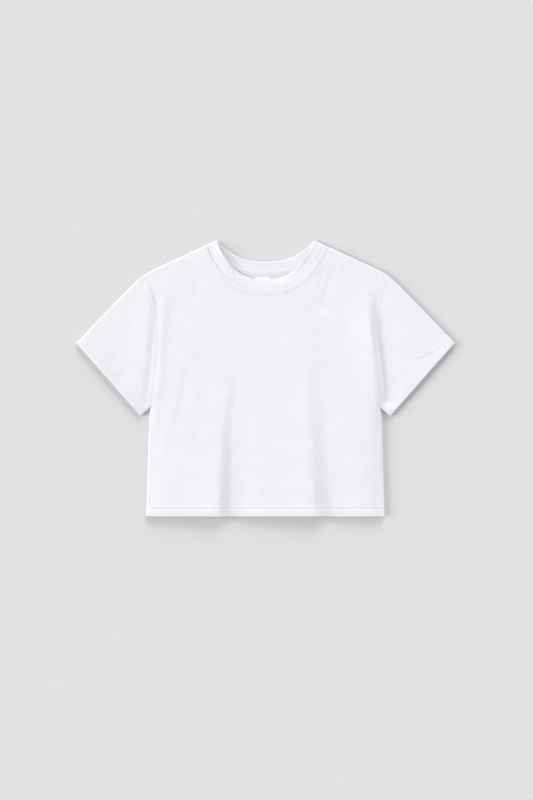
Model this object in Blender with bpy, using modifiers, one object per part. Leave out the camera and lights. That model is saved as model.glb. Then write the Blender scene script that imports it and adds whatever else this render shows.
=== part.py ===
"""Boxy cropped T-shirt in white jersey, laid flat with its front up.

Metres, +Z up, +Y towards the neck, +X towards the wearer's left sleeve. The back
rests on z = 0 and the origin is under the middle of the garment. Every piece is a
wall with an outer and an inner surface. Both are worked out from one plan of the
garment (its edges, seams and neckline) and one height field of its upper cloth.
"""

import math

import bmesh
import bpy
import numpy as np

# ---- Driving dimensions: the cut -------------------------------------------------
BODY_LENGTH = 0.510            # high point of the shoulder to the hem
HEM_HALF = 0.2204              # half of the width at the hem
CHEST_HALF = 0.2148            # half of the width just below the underarm
SHOULDER_HALF = 0.2267         # centre to the corner between shoulder and sleeve
SHOULDER_SLOPE = math.radians(24.6)
SLEEVE_SLOPE = math.radians(45.95)
SHOULDER_RADIUS = 0.140        # rounds the corner between shoulder and sleeve
SPAN_HALF = 0.3495             # centre to the top corner of the cuff
CUFF_LOW = (0.231, 0.3237)     # lower corner of the cuff: across, and below the neck
UNDERARM = (0.2126, 0.3091)    # end of the armhole: across, and below the neck
SIDE_BEND = 0.024              # stretch of the side seam that curves into the underarm
ARMHOLE_PULL = ((0.187, 0.115), (0.201, 0.222))   # the armhole's control points
HEM_DEPTH = 0.020              # turned hem and turned cuffs
BACK_HEM_RISE = 0.001          # the back hem lies this much inside the front hem

NECK_HALF = 0.090              # free edge of the neckband, at the high point
NECK_POWER = 2.5               # roundness of the neckline
# Depth of the neckline, and how steeply it leaves each shoulder (less is steeper).
FRONT_NECK = {"drop": 0.0722, "left": 0.78, "right": 0.92}
BACK_NECK = {"drop": 0.0392, "left": 1.0, "right": 1.0}
RIB_WIDTH = 0.020

LABEL_WIDTH = 0.028
LABEL_LENGTH = 0.018
LABEL_THICKNESS = 0.0009
LABEL_TOP = 0.0672             # below the neck, under the front neckband
LABEL_SHIFT = -0.005           # it is sewn in a little off centre
LABEL_BEVEL = 0.0002

# ---- Driving dimensions: the cloth as it lies --------------------------------------
WALL = 0.0012
HEM_WALL = 0.0018              # turned cloth of the hem and the cuffs
RIB_WALL = 0.0020              # folded rib
SEAM_GAP = 0.0003              # space between two pieces at a seam
NOTCH_SLIDE = 0.0005           # corners of body and sleeve step back from the underarm
ROLL_CLEARANCE = 0.00045       # more space beside the neckband where both roll over
ROLL_CLEARANCE_POWER = 8       # how close to the shoulder that space begins
EDGE_HALF = 0.0022             # half height of the roll where the cloth turns over
HEM_RISE = 0.00035             # the turned cloth stands proud of the single cloth
LIFT_CHEST = 0.0009            # how far the front floats above its edges
LIFT_HEM = 0.0036
LIFT_SLEEVE = 0.0008
LIFT_REACH = 0.025             # distance from an edge over which the front rises
CREASE_CALM = 0.007            # creases fade out this close to an edge
FLOOR_SINGLE = 0.0029          # lowest top of the single cloth above the back
FLOOR_HEM = 0.0037             # the same where the hem's turned cloth lies
FLOOR_BLEND = 0.060            # stretch above the hem over which the one becomes the other
FLOOR_SOFTNESS = 0.0004

# Soft ridges (+) and troughs (-) of the upper cloth. Each runs down a curve through
# three points (across, up). The reaches are its half widths on the left and on the
# right at its end, narrow is their share at its start, and the fades in and out are
# shares of its length. Sharp is 0 for a rounded ridge and 1 for one with a crisp line.
CREASES = {
    # name: start, middle, end,
    #       height, left reach, right reach, narrow, fade in, fade out, sharp
    "body_right_crest": ((-0.064, 0.071), (-0.081, -0.114), (-0.089, -0.254),
                         0.0037, 0.070, 0.023, 0.60, 1.60, 0.00, 0.40),
    "body_right_trough": ((-0.053, 0.071), (-0.062, -0.114), (-0.063, -0.254),
                          -0.0060, 0.024, 0.085, 0.60, 1.60, 0.00, 0.20),
    "body_left_crest": ((0.077, 0.090), (0.082, -0.114), (0.087, -0.254),
                        0.0034, 0.070, 0.031, 0.50, 1.60, 0.00, 0.45),
    "body_left_trough": ((0.093, 0.090), (0.110, -0.114), (0.123, -0.254),
                         -0.0058, 0.034, 0.085, 0.50, 1.60, 0.00, 0.35),
    "arm_right_crest": ((-0.212, 0.173), (-0.222, 0.062), (-0.238, -0.066),
                        0.0010, 0.045, 0.016, 0.85, 0.20, 0.12, 0.00),
    "arm_right_trough": ((-0.201, 0.173), (-0.206, 0.062), (-0.218, -0.055),
                         -0.0007, 0.016, 0.018, 0.85, 0.20, 0.12, 0.00),
    "arm_left_crest": ((0.186, 0.177), (0.199, 0.062), (0.230, -0.114),
                       0.0034, 0.060, 0.018, 0.90, 0.30, 0.36, 0.50),
    "arm_left_trough": ((0.203, 0.177), (0.211, 0.062), (0.223, -0.060),
                        -0.0036, 0.018, 0.045, 0.90, 0.45, 0.08, 0.80),
}
CREASE_STEPS = 10              # straight steps in each crease's curve

# ---- Fineness of the grids ---------------------------------------------------------
ARC_STEPS = 8
CURVE_STEPS = 24
ROLL_LINES = (1.0, 0.5, 0.134)     # grid lines near a rolled edge, as shares of EDGE_HALF
NECK_CELLS = 10                    # on each half of the neckline, for panels and neckband
NECK_SAMPLES = 1000                # for measuring along the neckline
ARMHOLE_CELLS = 13                 # along each armhole, for panels and sleeves
FRONT_GRID = {"side": 8,
              "shoulder": (0.14, 0.28, 0.42, 0.55, 0.67, 0.78, 0.87, 0.94, 1.0)}
BACK_GRID = {"side": 4, "shoulder": (0.25, 0.5, 0.75, 1.0)}
SLEEVE_ROWS = (0.0, 0.04, 0.09, 0.15, 0.23, 0.35, 0.5, 0.66, 0.83, 1.0)
HEM_ROWS = (0.0, 0.5, 0.98, 1.0)   # shares of the hem's depth
RIB_SHOULDER = 0.06                # share of the rib's width that its fold rounds over
SHARP_ANGLE = math.radians(50)

COLLECTION = "crop_top"
NECK_LEVEL = BODY_LENGTH / 2


# ---- Paths in plan -----------------------------------------------------------------
def below_neck(across, drop):
    """Plan position of a point given by its distance below the neck."""
    return np.array((across, NECK_LEVEL - drop))


def arc_length(path):
    """Distance along a path at each of its points."""
    steps = np.linalg.norm(np.diff(path, axis=0), axis=1)
    return np.concatenate(([0.0], np.cumsum(steps)))


def at_distances(path, distances):
    """Points on a path at given distances from its start."""
    lengths = arc_length(path)
    return np.column_stack([np.interp(distances, lengths, path[:, axis]) for axis in (0, 1)])


def at_shares(path, shares):
    """Points on a path at given shares of its length."""
    return at_distances(path, np.asarray(shares) * arc_length(path)[-1])


def bezier(points, steps):
    """Bezier curve with the given control points."""
    shares = np.linspace(0.0, 1.0, steps + 1)[:, None]
    layer = [np.ones_like(shares) * np.array(point) for point in points]
    while len(layer) > 1:
        layer = [first * (1 - shares) + second * shares
                 for first, second in zip(layer, layer[1:])]
    return layer[0]


def nearest(path, x, y):
    """Distance to a path, the unit way from it, the share along it and the side (left is +).

    On the path itself the way points to its right.
    """
    lengths = arc_length(path)
    best = np.full(x.shape, np.inf)
    way_x, way_y, along, side = (np.zeros(x.shape) for _ in range(4))
    for before, start, end in zip(lengths, path, path[1:]):
        run = end - start
        length = np.hypot(*run)
        share = np.clip(((x - start[0]) * run[0] + (y - start[1]) * run[1]) / length ** 2, 0, 1)
        off_x = x - start[0] - share * run[0]
        off_y = y - start[1] - share * run[1]
        distance = np.hypot(off_x, off_y)
        closer = distance < best
        touching = distance < 1e-9
        safe = np.where(touching, 1.0, distance)
        best = np.where(closer, distance, best)
        way_x = np.where(closer, np.where(touching, run[1] / length, off_x / safe), way_x)
        way_y = np.where(closer, np.where(touching, -run[0] / length, off_y / safe), way_y)
        along = np.where(closer, (before + share * length) / lengths[-1], along)
        side = np.where(closer, np.sign(run[0] * off_y - run[1] * off_x), side)
    return best, way_x, way_y, along, side


def distance_along(path, point):
    """Distance from the start of a path to where it comes closest to a point."""
    along = nearest(path, np.array(point[0]), np.array(point[1]))[3]
    return float(along) * arc_length(path)[-1]


# ---- Plan of the garment: its right-hand half as seen from above -------------------------
def neck_point(share, across, neck):
    """Point of the neckband, from its left (-1) to its right shoulder and across from its free edge."""
    drop = neck["drop"]
    steepness = np.where(share < 0, neck["left"], neck["right"])
    bend = np.clip(1 - np.abs(share) ** NECK_POWER, 0.0, 1.0) ** steepness
    seam_half = NECK_HALF + RIB_WIDTH * math.cos(SHOULDER_SLOPE)
    seam_level = RIB_WIDTH * math.sin(SHOULDER_SLOPE)
    seam_drop = seam_level + (drop + RIB_WIDTH - seam_level) * bend
    free = np.stack((share * NECK_HALF, NECK_LEVEL - drop * bend), axis=-1)
    seam = np.stack((share * seam_half, NECK_LEVEL - seam_drop), axis=-1)
    across = np.asarray(across)[..., None]
    return free * (1 - across) + seam * across


def top_edge():
    """Rolled upper edge: shoulder, rounded corner, sleeve, tip. It starts inside the neck."""
    turn = SLEEVE_SLOPE - SHOULDER_SLOPE
    along_shoulder = np.array((math.cos(SHOULDER_SLOPE), -math.sin(SHOULDER_SLOPE)))
    along_sleeve = np.array((math.cos(SLEEVE_SLOPE), -math.sin(SLEEVE_SLOPE)))
    down = np.array((along_shoulder[1], -along_shoulder[0]))
    start = below_neck(NECK_HALF, 0.0) - along_shoulder * RIB_WIDTH
    corner = below_neck(SHOULDER_HALF,
                        (SHOULDER_HALF - NECK_HALF) * math.tan(SHOULDER_SLOPE))
    arc_start = corner - along_shoulder * SHOULDER_RADIUS * math.tan(turn / 2)
    angles = math.pi / 2 - SHOULDER_SLOPE - np.linspace(0.0, turn, ARC_STEPS + 1)
    spokes = np.column_stack((np.cos(angles), np.sin(angles)))
    arc = arc_start + SHOULDER_RADIUS * (down + spokes)
    tip = corner + along_sleeve * (SPAN_HALF - SHOULDER_HALF) / math.cos(SLEEVE_SLOPE)
    return np.vstack((start, arc, tip))


def side_edge():
    """Rolled side edge from the underarm down to the hem."""
    underarm = below_neck(*UNDERARM)
    hem_corner = np.array((HEM_HALF, -NECK_LEVEL))
    chest = np.array((CHEST_HALF, underarm[1] - SIDE_BEND / 2))
    bend_end = chest + (hem_corner - chest) * SIDE_BEND / 2 / (chest[1] - hem_corner[1])
    return np.vstack((bezier((underarm, chest, bend_end), ARC_STEPS), hem_corner))


TOP_EDGE = top_edge()
SIDE_EDGE = side_edge()
UNDERARM_EDGE = np.vstack((below_neck(*UNDERARM), below_neck(*CUFF_LOW)))
SHOULDER_POINT = at_shares(TOP_EDGE[1:-1], [0.5])[0]
ARMHOLE = bezier((SHOULDER_POINT, below_neck(*ARMHOLE_PULL[0]),
                  below_neck(*ARMHOLE_PULL[1]), below_neck(*UNDERARM)), CURVE_STEPS)
ROLLED_EDGES = (TOP_EDGE, np.vstack((UNDERARM_EDGE[::-1], SIDE_EDGE[1:])))


def edge_distance(x, y):
    """Distance from the garment's rolled edges, and the unit way inwards from them."""
    found = [nearest(path, np.abs(x), y)[:3] for path in ROLLED_EDGES]
    first = found[0][0] <= found[1][0]
    distance, way_x, way_y = (np.where(first, one, two) for one, two in zip(*found))
    return distance, way_x * np.where(x < 0, -1.0, 1.0), way_y


def armhole_side(towards):
    """The armhole moved half a seam gap: towards is +1 for the sleeve, -1 for the body.

    Its two ends slide along the edges, which keeps them on the roll.
    """
    direction = np.gradient(ARMHOLE, axis=0)
    direction /= np.linalg.norm(direction, axis=1, keepdims=True)
    outwards = np.column_stack((-direction[:, 1], direction[:, 0]))
    moved = ARMHOLE + outwards * towards * SEAM_GAP / 2
    shoulder = distance_along(TOP_EDGE, SHOULDER_POINT) + towards * SEAM_GAP / 2
    moved[0] = at_distances(TOP_EDGE, [shoulder])[0]
    lower = UNDERARM_EDGE if towards > 0 else SIDE_EDGE
    moved[-1] = at_distances(lower, [NOTCH_SLIDE])[0]
    return moved


# ---- Height of the upper cloth ---------------------------------------------------------
def smooth(value):
    """Eases from 0 to 1."""
    value = np.clip(value, 0.0, 1.0)
    return value * value * (3 - 2 * value)


def crease_relief(x, y):
    """Sum of the soft ridges and troughs."""
    relief = np.zeros(x.shape)
    for start, middle, end, height, left, right, narrow, fade_in, fade_out, sharp in CREASES.values():
        control = 2 * np.array(middle) - (np.array(start) + np.array(end)) / 2
        distance, _, _, along, side = nearest(bezier((start, control, end), CREASE_STEPS), x, y)
        reach = np.where(side > 0, right, left) * (narrow + (1 - narrow) * along)
        share = np.minimum(distance / reach, 1.0)
        swell = (1 - sharp) * (0.5 + 0.5 * np.cos(math.pi * share)) + sharp * (1 - share) ** 2
        strength = smooth(along / fade_in)
        if fade_out:
            strength = strength * smooth((1 - along) / fade_out)
        relief += height * swell * strength
    return relief


def front_height(x, y):
    """Top of the upper cloth, away from the roll at its edges."""
    distance, _, _ = edge_distance(x, y)
    lift = LIFT_CHEST + (LIFT_HEM - LIFT_CHEST) * smooth((NECK_LEVEL - y) / BODY_LENGTH)
    on_sleeve = smooth((np.abs(x) - CHEST_HALF + LIFT_REACH) / (2 * LIFT_REACH))
    lift = lift + (LIFT_SLEEVE - lift) * on_sleeve
    height = 2 * EDGE_HALF + lift * (1 - np.exp(-distance / LIFT_REACH))
    height += crease_relief(x, y) * (1 - np.exp(-(distance / CREASE_CALM) ** 2))
    near_hem = smooth(1 - (y + NECK_LEVEL - HEM_DEPTH) / FLOOR_BLEND)
    lowest = FLOOR_SINGLE + (FLOOR_HEM - FLOOR_SINGLE) * near_hem
    above = height - lowest
    return lowest + 0.5 * (above + np.sqrt(above ** 2 + FLOOR_SOFTNESS ** 2))


def roll_level(distance):
    """How level the cloth's normal lies in the roll: 1 at the edge itself, 0 away from it."""
    return np.clip(1 - distance / EDGE_HALF, 0.0, 1.0)


def wall_points(plan, wall, rise, side, rim):
    """Outer and inner points of a wall over plan positions.

    side is +1 for the upper cloth and -1 for the cloth that lies on the ground, and rim
    is the height of the rolled edge itself. rise lifts the upper cloth's outer surface.
    """
    x, y = plan[..., 0], plan[..., 1]
    distance, way_x, way_y = edge_distance(x, y)
    level = roll_level(distance)
    upright = np.sqrt(1 - level ** 2)
    far = front_height(x, y) + rise if side > 0 else 0.0
    outer_z = rim + (far - rim) * upright
    outer = np.stack((x, y, outer_z), axis=-1)
    inner = np.stack((x + wall * level * way_x, y + wall * level * way_y,
                      outer_z - side * wall * upright), axis=-1)
    return outer, inner


# ---- Grids of plan positions -------------------------------------------------------------
def crowd(lines):
    """Adds lines close to the last line of a grid, where the cloth rolls over."""
    last, before = lines[-1], lines[-2]
    gap = np.linalg.norm(before - last, axis=-1, keepdims=True)
    extra = [last + (before - last) * (share * EDGE_HALF / gap) for share in ROLL_LINES]
    return np.concatenate((lines[:-1], extra, lines[-1:]))


def patch(first_row, last_row, first_column, last_column):
    """Plan positions between four edges that share their corners."""
    across = arc_length(last_row)[None, :, None] / arc_length(last_row)[-1]
    up = arc_length(last_column)[:, None, None] / arc_length(last_column)[-1]
    rows = first_row[None] * (1 - up) + last_row[None] * up
    columns = first_column[:, None] * (1 - across) + last_column[:, None] * across
    corners = ((first_row[0] * (1 - across) + first_row[-1] * across) * (1 - up)
               + (last_row[0] * (1 - across) + last_row[-1] * across) * up)
    return rows + columns - corners


def neck_shares(neck, side):
    """Shares along half of the neckline that give steps of equal length; side is +1 or -1."""
    fine = side * np.linspace(0.0, 1.0, NECK_SAMPLES)
    lengths = arc_length(neck_point(fine, np.ones_like(fine), neck))
    return np.interp(np.linspace(0.0, lengths[-1], NECK_CELLS + 1), lengths, fine)


def neck_shares_at(distances, across, neck, side):
    """Shares at which a line of the neckband lies at given distances from the shoulder's edge."""
    fine = 1 - np.linspace(0.0, 0.6, NECK_SAMPLES) ** 2
    line = neck_point(side * fine, np.full(fine.shape, across), neck)
    return side * np.interp(distances, edge_distance(line[:, 0], line[:, 1])[0], fine)


def half_width(level):
    """Half of the body's width at a height in plan."""
    return np.interp(level, SIDE_EDGE[::-1, 1], SIDE_EDGE[::-1, 0])


def panel_half(neck, side, hem_level, fineness):
    """Plan of half of a body panel, laid out to the right, in rows from the hem up."""
    shares = neck_shares(neck, side)
    clearance = SEAM_GAP + ROLL_CLEARANCE * np.abs(shares) ** ROLL_CLEARANCE_POWER
    neckline = neck_point(shares, 1 + clearance / RIB_WIDTH, neck) * np.array((side, 1.0))
    armhole = armhole_side(-1)[::-1]
    shoulder_start = distance_along(TOP_EDGE, neckline[-1])
    shoulder_run = distance_along(TOP_EDGE, armhole[-1]) - shoulder_start
    shoulder = at_distances(TOP_EDGE,
                            shoulder_start + shoulder_run * np.array(fineness["shoulder"]))
    last_row = np.vstack((neckline, shoulder))

    hem_top = -NECK_LEVEL + HEM_DEPTH
    hem_run = distance_along(SIDE_EDGE, (half_width(hem_top), hem_top))
    flank = at_distances(SIDE_EDGE, np.linspace(hem_run, NOTCH_SLIDE, fineness["side"] + 1))
    steps = np.linspace(0.0, arc_length(armhole)[-1], ARMHOLE_CELLS + 1)[1:]
    by_underarm = np.array(ROLL_LINES[1::-1]) * EDGE_HALF
    last_column = np.vstack((flank, at_distances(armhole, np.concatenate((by_underarm, steps)))))
    up = arc_length(last_column) / arc_length(last_column)[-1]
    first_column = np.column_stack((np.zeros_like(up),
                                    hem_top + (neckline[0, 1] - hem_top) * up))
    across = arc_length(last_row) / arc_length(last_row)[-1]

    hem_levels = [hem_level + (hem_top - hem_level) * share for share in HEM_ROWS]
    hem = np.array([np.column_stack((half_width(level) * across, np.full(across.shape, level)))
                    for level in hem_levels])
    body = patch(hem[-1], last_row, first_column, last_column)
    half = np.concatenate((hem[:-1], body))
    return crowd(crowd(half.swapaxes(0, 1)).swapaxes(0, 1))


def panel_grid(neck, hem_level, fineness):
    """Plan of a body panel in rows from the hem up, and a mask of its turned hem."""
    left = panel_half(neck, -1, hem_level, fineness)[:, :0:-1] * np.array((-1.0, 1.0))
    grid = np.concatenate((left, panel_half(neck, 1, hem_level, fineness)), axis=1)
    turned = np.zeros(grid.shape[:2], dtype=bool)
    turned[:len(HEM_ROWS) - 1] = True
    return grid, turned


def sleeve_grid():
    """Plan of one layer of the sleeve in rows from armhole to cuff, and a mask of its cuff."""
    armhole = armhole_side(1)
    rows = np.array(SLEEVE_ROWS)
    shares = np.linspace(0.0, 1.0, ARMHOLE_CELLS + 1)
    top_start = distance_along(TOP_EDGE, armhole[0])
    top_run = arc_length(TOP_EDGE)[-1] - HEM_DEPTH - top_start
    low_run = arc_length(UNDERARM_EDGE)[-1] - HEM_DEPTH - NOTCH_SLIDE
    upper = at_distances(TOP_EDGE, top_start + top_run * rows)
    lower = at_distances(UNDERARM_EDGE, NOTCH_SLIDE + low_run * rows)
    cuff_top = upper[-1] + (lower[-1] - upper[-1]) * shares[:, None]
    sleeve = patch(at_shares(armhole, shares), cuff_top, upper, lower)
    cuff_edge = TOP_EDGE[-1] + (UNDERARM_EDGE[-1] - TOP_EDGE[-1]) * shares[:, None]
    cuff = [cuff_edge + (cuff_top - cuff_edge) * share for share in HEM_ROWS[-2::-1]]
    grid = np.concatenate((sleeve, np.array(cuff)))
    grid = crowd(crowd(grid.swapaxes(0, 1))[::-1])[::-1].swapaxes(0, 1)
    turned = np.zeros(grid.shape[:2], dtype=bool)
    turned[len(sleeve):] = True
    return grid, turned


# ---- Meshes ----------------------------------------------------------------------------
def make_material(name, colour, roughness):
    """A plain surface in one colour."""
    material = bpy.data.materials.new(name)
    material.use_nodes = True
    shader = material.node_tree.nodes["Principled BSDF"]
    shader.inputs["Base Color"].default_value = (*colour, 1.0)
    shader.inputs["Roughness"].default_value = roughness
    shader.inputs["Metallic"].default_value = 0.0
    return material


def add_piece(name, vertices, faces, material, collection):
    """One named solid, its faces pointing out."""
    mesh = bpy.data.meshes.new(name)
    mesh.from_pydata([tuple(vertex) for vertex in vertices], [], faces)
    shape = bmesh.new()
    shape.from_mesh(mesh)
    bmesh.ops.recalc_face_normals(shape, faces=shape.faces)
    shape.to_mesh(mesh)
    shape.free()
    mesh.shade_smooth()
    mesh.set_sharp_from_angle(angle=SHARP_ANGLE)
    mesh.materials.append(material)
    piece = bpy.data.objects.new(name, mesh)
    collection.objects.link(piece)
    return piece


def strip_faces(first, second, ring):
    """Faces between two lines of vertex numbers."""
    pairs = list(zip(first, first[1:], second[1:], second))
    if ring:
        pairs.append((first[-1], first[0], second[0], second[-1]))
    return pairs


def wall_faces(rows, columns, ring):
    """Faces of a wall: an outer grid, an inner grid and the rims that join them."""
    outer = np.arange(rows * columns).reshape(rows, columns).tolist()
    inner = (np.arange(rows * columns).reshape(rows, columns) + rows * columns).tolist()
    faces = []
    for lower, upper in zip(range(rows - 1), range(1, rows)):
        faces += strip_faces(outer[lower], outer[upper], ring)
        faces += strip_faces(inner[upper], inner[lower], ring)
    faces += strip_faces(inner[0], outer[0], ring)
    faces += strip_faces(outer[-1], inner[-1], ring)
    if not ring:
        first_out, first_in = [row[0] for row in outer], [row[0] for row in inner]
        last_out, last_in = [row[-1] for row in outer], [row[-1] for row in inner]
        faces += strip_faces(first_out, first_in, False)
        faces += strip_faces(last_in, last_out, False)
    return faces


def add_wall(name, outer, inner, ring, material, collection):
    """A piece of cloth from its outer and inner points."""
    rows, columns = outer.shape[:2]
    vertices = np.concatenate((outer.reshape(-1, 3), inner.reshape(-1, 3)))
    return add_piece(name, vertices, wall_faces(rows, columns, ring), material, collection)


def add_front_panel(material, collection):
    """Front of the body, rising in soft folds towards the hem."""
    grid, turned = panel_grid(FRONT_NECK, -NECK_LEVEL, FRONT_GRID)
    wall = np.where(turned, HEM_WALL, WALL)
    rise = np.where(turned, HEM_RISE, 0.0)
    outer, inner = wall_points(grid, wall, rise, 1, EDGE_HALF + SEAM_GAP / 2)
    return add_wall("front_panel", outer, inner, False, material, collection)


def add_back_panel(material, collection):
    """Back of the body, flat on the ground."""
    grid, turned = panel_grid(BACK_NECK, -NECK_LEVEL + BACK_HEM_RISE, BACK_GRID)
    wall = np.where(turned, HEM_WALL, WALL)
    outer, inner = wall_points(grid, wall, 0.0, -1, EDGE_HALF - SEAM_GAP / 2)
    return add_wall("back_panel", outer, inner, False, material, collection)


def add_sleeve(name, sign, material, collection):
    """A sleeve as a flattened tube; sign is +1 on the wearer's left."""
    grid, turned = sleeve_grid()
    grid = grid * np.array((sign, 1.0))
    wall = np.where(turned, HEM_WALL, WALL)
    rise = np.where(turned, HEM_RISE, 0.0)
    upper = wall_points(grid, wall, rise, 1, EDGE_HALF)
    lower = wall_points(grid, wall, 0.0, -1, EDGE_HALF)
    outer, inner = (np.concatenate((top, bottom[:, -2:0:-1]), axis=1)
                    for top, bottom in zip(upper, lower))
    return add_wall(name, outer, inner, True, material, collection)


def neckband_end(neck, side, layer):
    """Cross-sections of the neckband from the centre to one shoulder, in front or behind."""
    by_shoulder = neck_shares_at(np.array(ROLL_LINES) * EDGE_HALF, 0.5, neck, side)
    shares = side * np.sort(np.abs(np.concatenate((neck_shares(neck, side), by_shoulder))))
    across = np.array((0.0, RIB_SHOULDER, 1.0))
    share_grid, across_grid = np.meshgrid(shares, across, indexing="ij")
    plan = neck_point(share_grid, across_grid, neck)
    outer, inner = wall_points(plan, RIB_WALL, 0.0, layer, EDGE_HALF)
    outer[:, 0, 2] = (outer[:, 0, 2] + inner[:, 0, 2]) / 2
    for index, line in enumerate(across):
        distance = edge_distance(plan[:, index, 0], plan[:, index, 1])[0]
        level = roll_level(distance)
        shifted = neck_shares_at(distance + RIB_WALL * level, line, neck, side)
        inner_shares = np.where(level > 0, shifted, shares)
        inner[:, index, :2] = neck_point(inner_shares, np.full(shares.shape, line), neck)
    return np.concatenate((outer, inner[:, :0:-1]), axis=1)


def add_neckband(material, collection):
    """Ring of folded rib, turned over at both shoulders."""
    front_left, front_right = (neckband_end(FRONT_NECK, side, 1) for side in (-1, 1))
    back_left, back_right = (neckband_end(BACK_NECK, side, -1) for side in (-1, 1))
    sections = np.concatenate((front_left[:0:-1], front_right,
                               back_right[-2:0:-1], back_left[:-1]))
    count, corners = sections.shape[:2]
    numbers = np.arange(count * corners).reshape(count, corners).tolist()
    faces = []
    for first, second in zip(numbers, numbers[1:] + numbers[:1]):
        faces += strip_faces(first, second, True)
    return add_piece("neckband", sections.reshape(-1, 3), faces, material, collection)


def add_neck_label(material, collection):
    """Small blank label that lies on the inside of the back."""
    shape = bmesh.new()
    bmesh.ops.create_cube(shape, size=1.0)
    bmesh.ops.scale(shape, vec=(LABEL_WIDTH, LABEL_LENGTH, LABEL_THICKNESS), verts=shape.verts)
    mesh = bpy.data.meshes.new("neck_label")
    shape.to_mesh(mesh)
    shape.free()
    mesh.materials.append(material)
    label = bpy.data.objects.new("neck_label", mesh)
    label.location = (LABEL_SHIFT, NECK_LEVEL - LABEL_TOP - LABEL_LENGTH / 2,
                      WALL + SEAM_GAP + LABEL_THICKNESS / 2)
    bevel = label.modifiers.new("soft edges", "BEVEL")
    bevel.width = LABEL_BEVEL
    bevel.segments = 2
    collection.objects.link(label)
    return label


def main():
    for stale in list(bpy.data.objects):
        bpy.data.objects.remove(stale, do_unlink=True)
    collection = bpy.data.collections.new(COLLECTION)
    bpy.context.scene.collection.children.link(collection)
    jersey = make_material("white_jersey", (0.86, 0.855, 0.89), 0.92)
    sleeve_jersey = make_material("sleeve_jersey", (0.87, 0.865, 0.90), 0.92)
    rib = make_material("white_rib", (0.84, 0.835, 0.87), 0.95)
    satin = make_material("label_satin", (0.90, 0.90, 0.91), 0.55)
    add_back_panel(jersey, collection)
    add_front_panel(jersey, collection)
    add_sleeve("sleeve_left", 1.0, sleeve_jersey, collection)
    add_sleeve("sleeve_right", -1.0, sleeve_jersey, collection)
    add_neckband(rib, collection)
    add_neck_label(satin, collection)


main()
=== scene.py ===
"""Looks of the crop top: fine cloth, ribs, seams, stitches, finishes, light and camera.

Metres, +Z up, +Y towards the neck, +X towards the wearer's left sleeve. The cut and the
way the cloth lies are those of the solids that the cloth stands for. Their plan and
height are worked out here again on finer grids, with the small creases, seams, turned
hems and stitches that the solids leave out.
"""

import math
from functools import partialmethod

import bmesh
import bpy
import numpy as np
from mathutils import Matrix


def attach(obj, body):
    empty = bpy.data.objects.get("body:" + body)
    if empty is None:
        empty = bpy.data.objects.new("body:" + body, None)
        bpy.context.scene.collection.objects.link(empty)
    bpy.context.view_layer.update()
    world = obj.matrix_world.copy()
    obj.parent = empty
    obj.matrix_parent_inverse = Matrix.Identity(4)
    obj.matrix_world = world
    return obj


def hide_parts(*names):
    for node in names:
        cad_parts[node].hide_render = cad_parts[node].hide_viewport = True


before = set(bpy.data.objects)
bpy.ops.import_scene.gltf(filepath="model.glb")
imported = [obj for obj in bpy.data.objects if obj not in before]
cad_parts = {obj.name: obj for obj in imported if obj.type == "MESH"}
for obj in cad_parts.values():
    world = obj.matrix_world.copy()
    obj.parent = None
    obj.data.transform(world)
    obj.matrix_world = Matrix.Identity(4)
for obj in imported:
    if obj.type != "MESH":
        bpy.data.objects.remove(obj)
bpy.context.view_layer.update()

# ---- The cut ----
BODY_LENGTH = 0.510
HEM_HALF = 0.2204
CHEST_HALF = 0.2148
SHOULDER_HALF = 0.2267
SHOULDER_SLOPE = math.radians(24.6)
SLEEVE_SLOPE = math.radians(45.95)
SHOULDER_RADIUS = 0.140
SPAN_HALF = 0.3495
CUFF_LOW = (0.231, 0.3237)  # across, and below the neck
UNDERARM = (0.2126, 0.3091)
SIDE_BEND = 0.024  # length of the bend below the underarm
ARMHOLE_PULL = ((0.187, 0.115), (0.201, 0.222))  # control points of its curve
HEM_DEPTH = 0.020
BACK_HEM_RISE = 0.001
NECK_HALF = 0.090
NECK_POWER = 2.5  # roundness of the neckline
FRONT_NECK = {"drop": 0.0722, "left": 0.78, "right": 0.92}  # depth, steepness on each side
BACK_NECK = {"drop": 0.0392, "left": 1.0, "right": 1.0}
RIB_WIDTH = 0.020
LABEL_WIDTH = 0.028
LABEL_LENGTH = 0.018
LABEL_THICKNESS = 0.0009
LABEL_TOP = 0.0672  # below the neck
LABEL_SHIFT = -0.005

# ---- The cloth as it lies ----
WALL = 0.0012  # of single cloth
HEM_WALL = 0.0018
RIB_WALL = 0.0020
SEAM_GAP = 0.00008
PRESSED_GAP = 0.0001  # between the layers of a sleeve where a fold presses them thin
NOTCH_SLIDE = 0.0005  # panels and sleeves end this far from the underarm
ROLL_CLEARANCE = 0.0003
ROLL_CLEARANCE_POWER = 8
EDGE_HALF = 0.0022  # radius of the roll at sides, shoulders and sleeves
HEM_RISE = 0.00045  # of the turned cloth above single cloth
CUFF_RISE = 0.00028
LIFT_CHEST = 0.0009  # room between the layers, away from the roll
LIFT_HEM = 0.0036
LIFT_SLEEVE = 0.0008
LIFT_REACH = 0.025
CREASE_CALM = 0.007  # creases fade out this close to an edge
FLOOR_SINGLE = 0.0029  # top of the upper cloth where it touches the lower cloth
FLOOR_HEM = 0.0037
FLOOR_BLEND = 0.060
FLOOR_SOFTNESS = 0.0004

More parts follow.
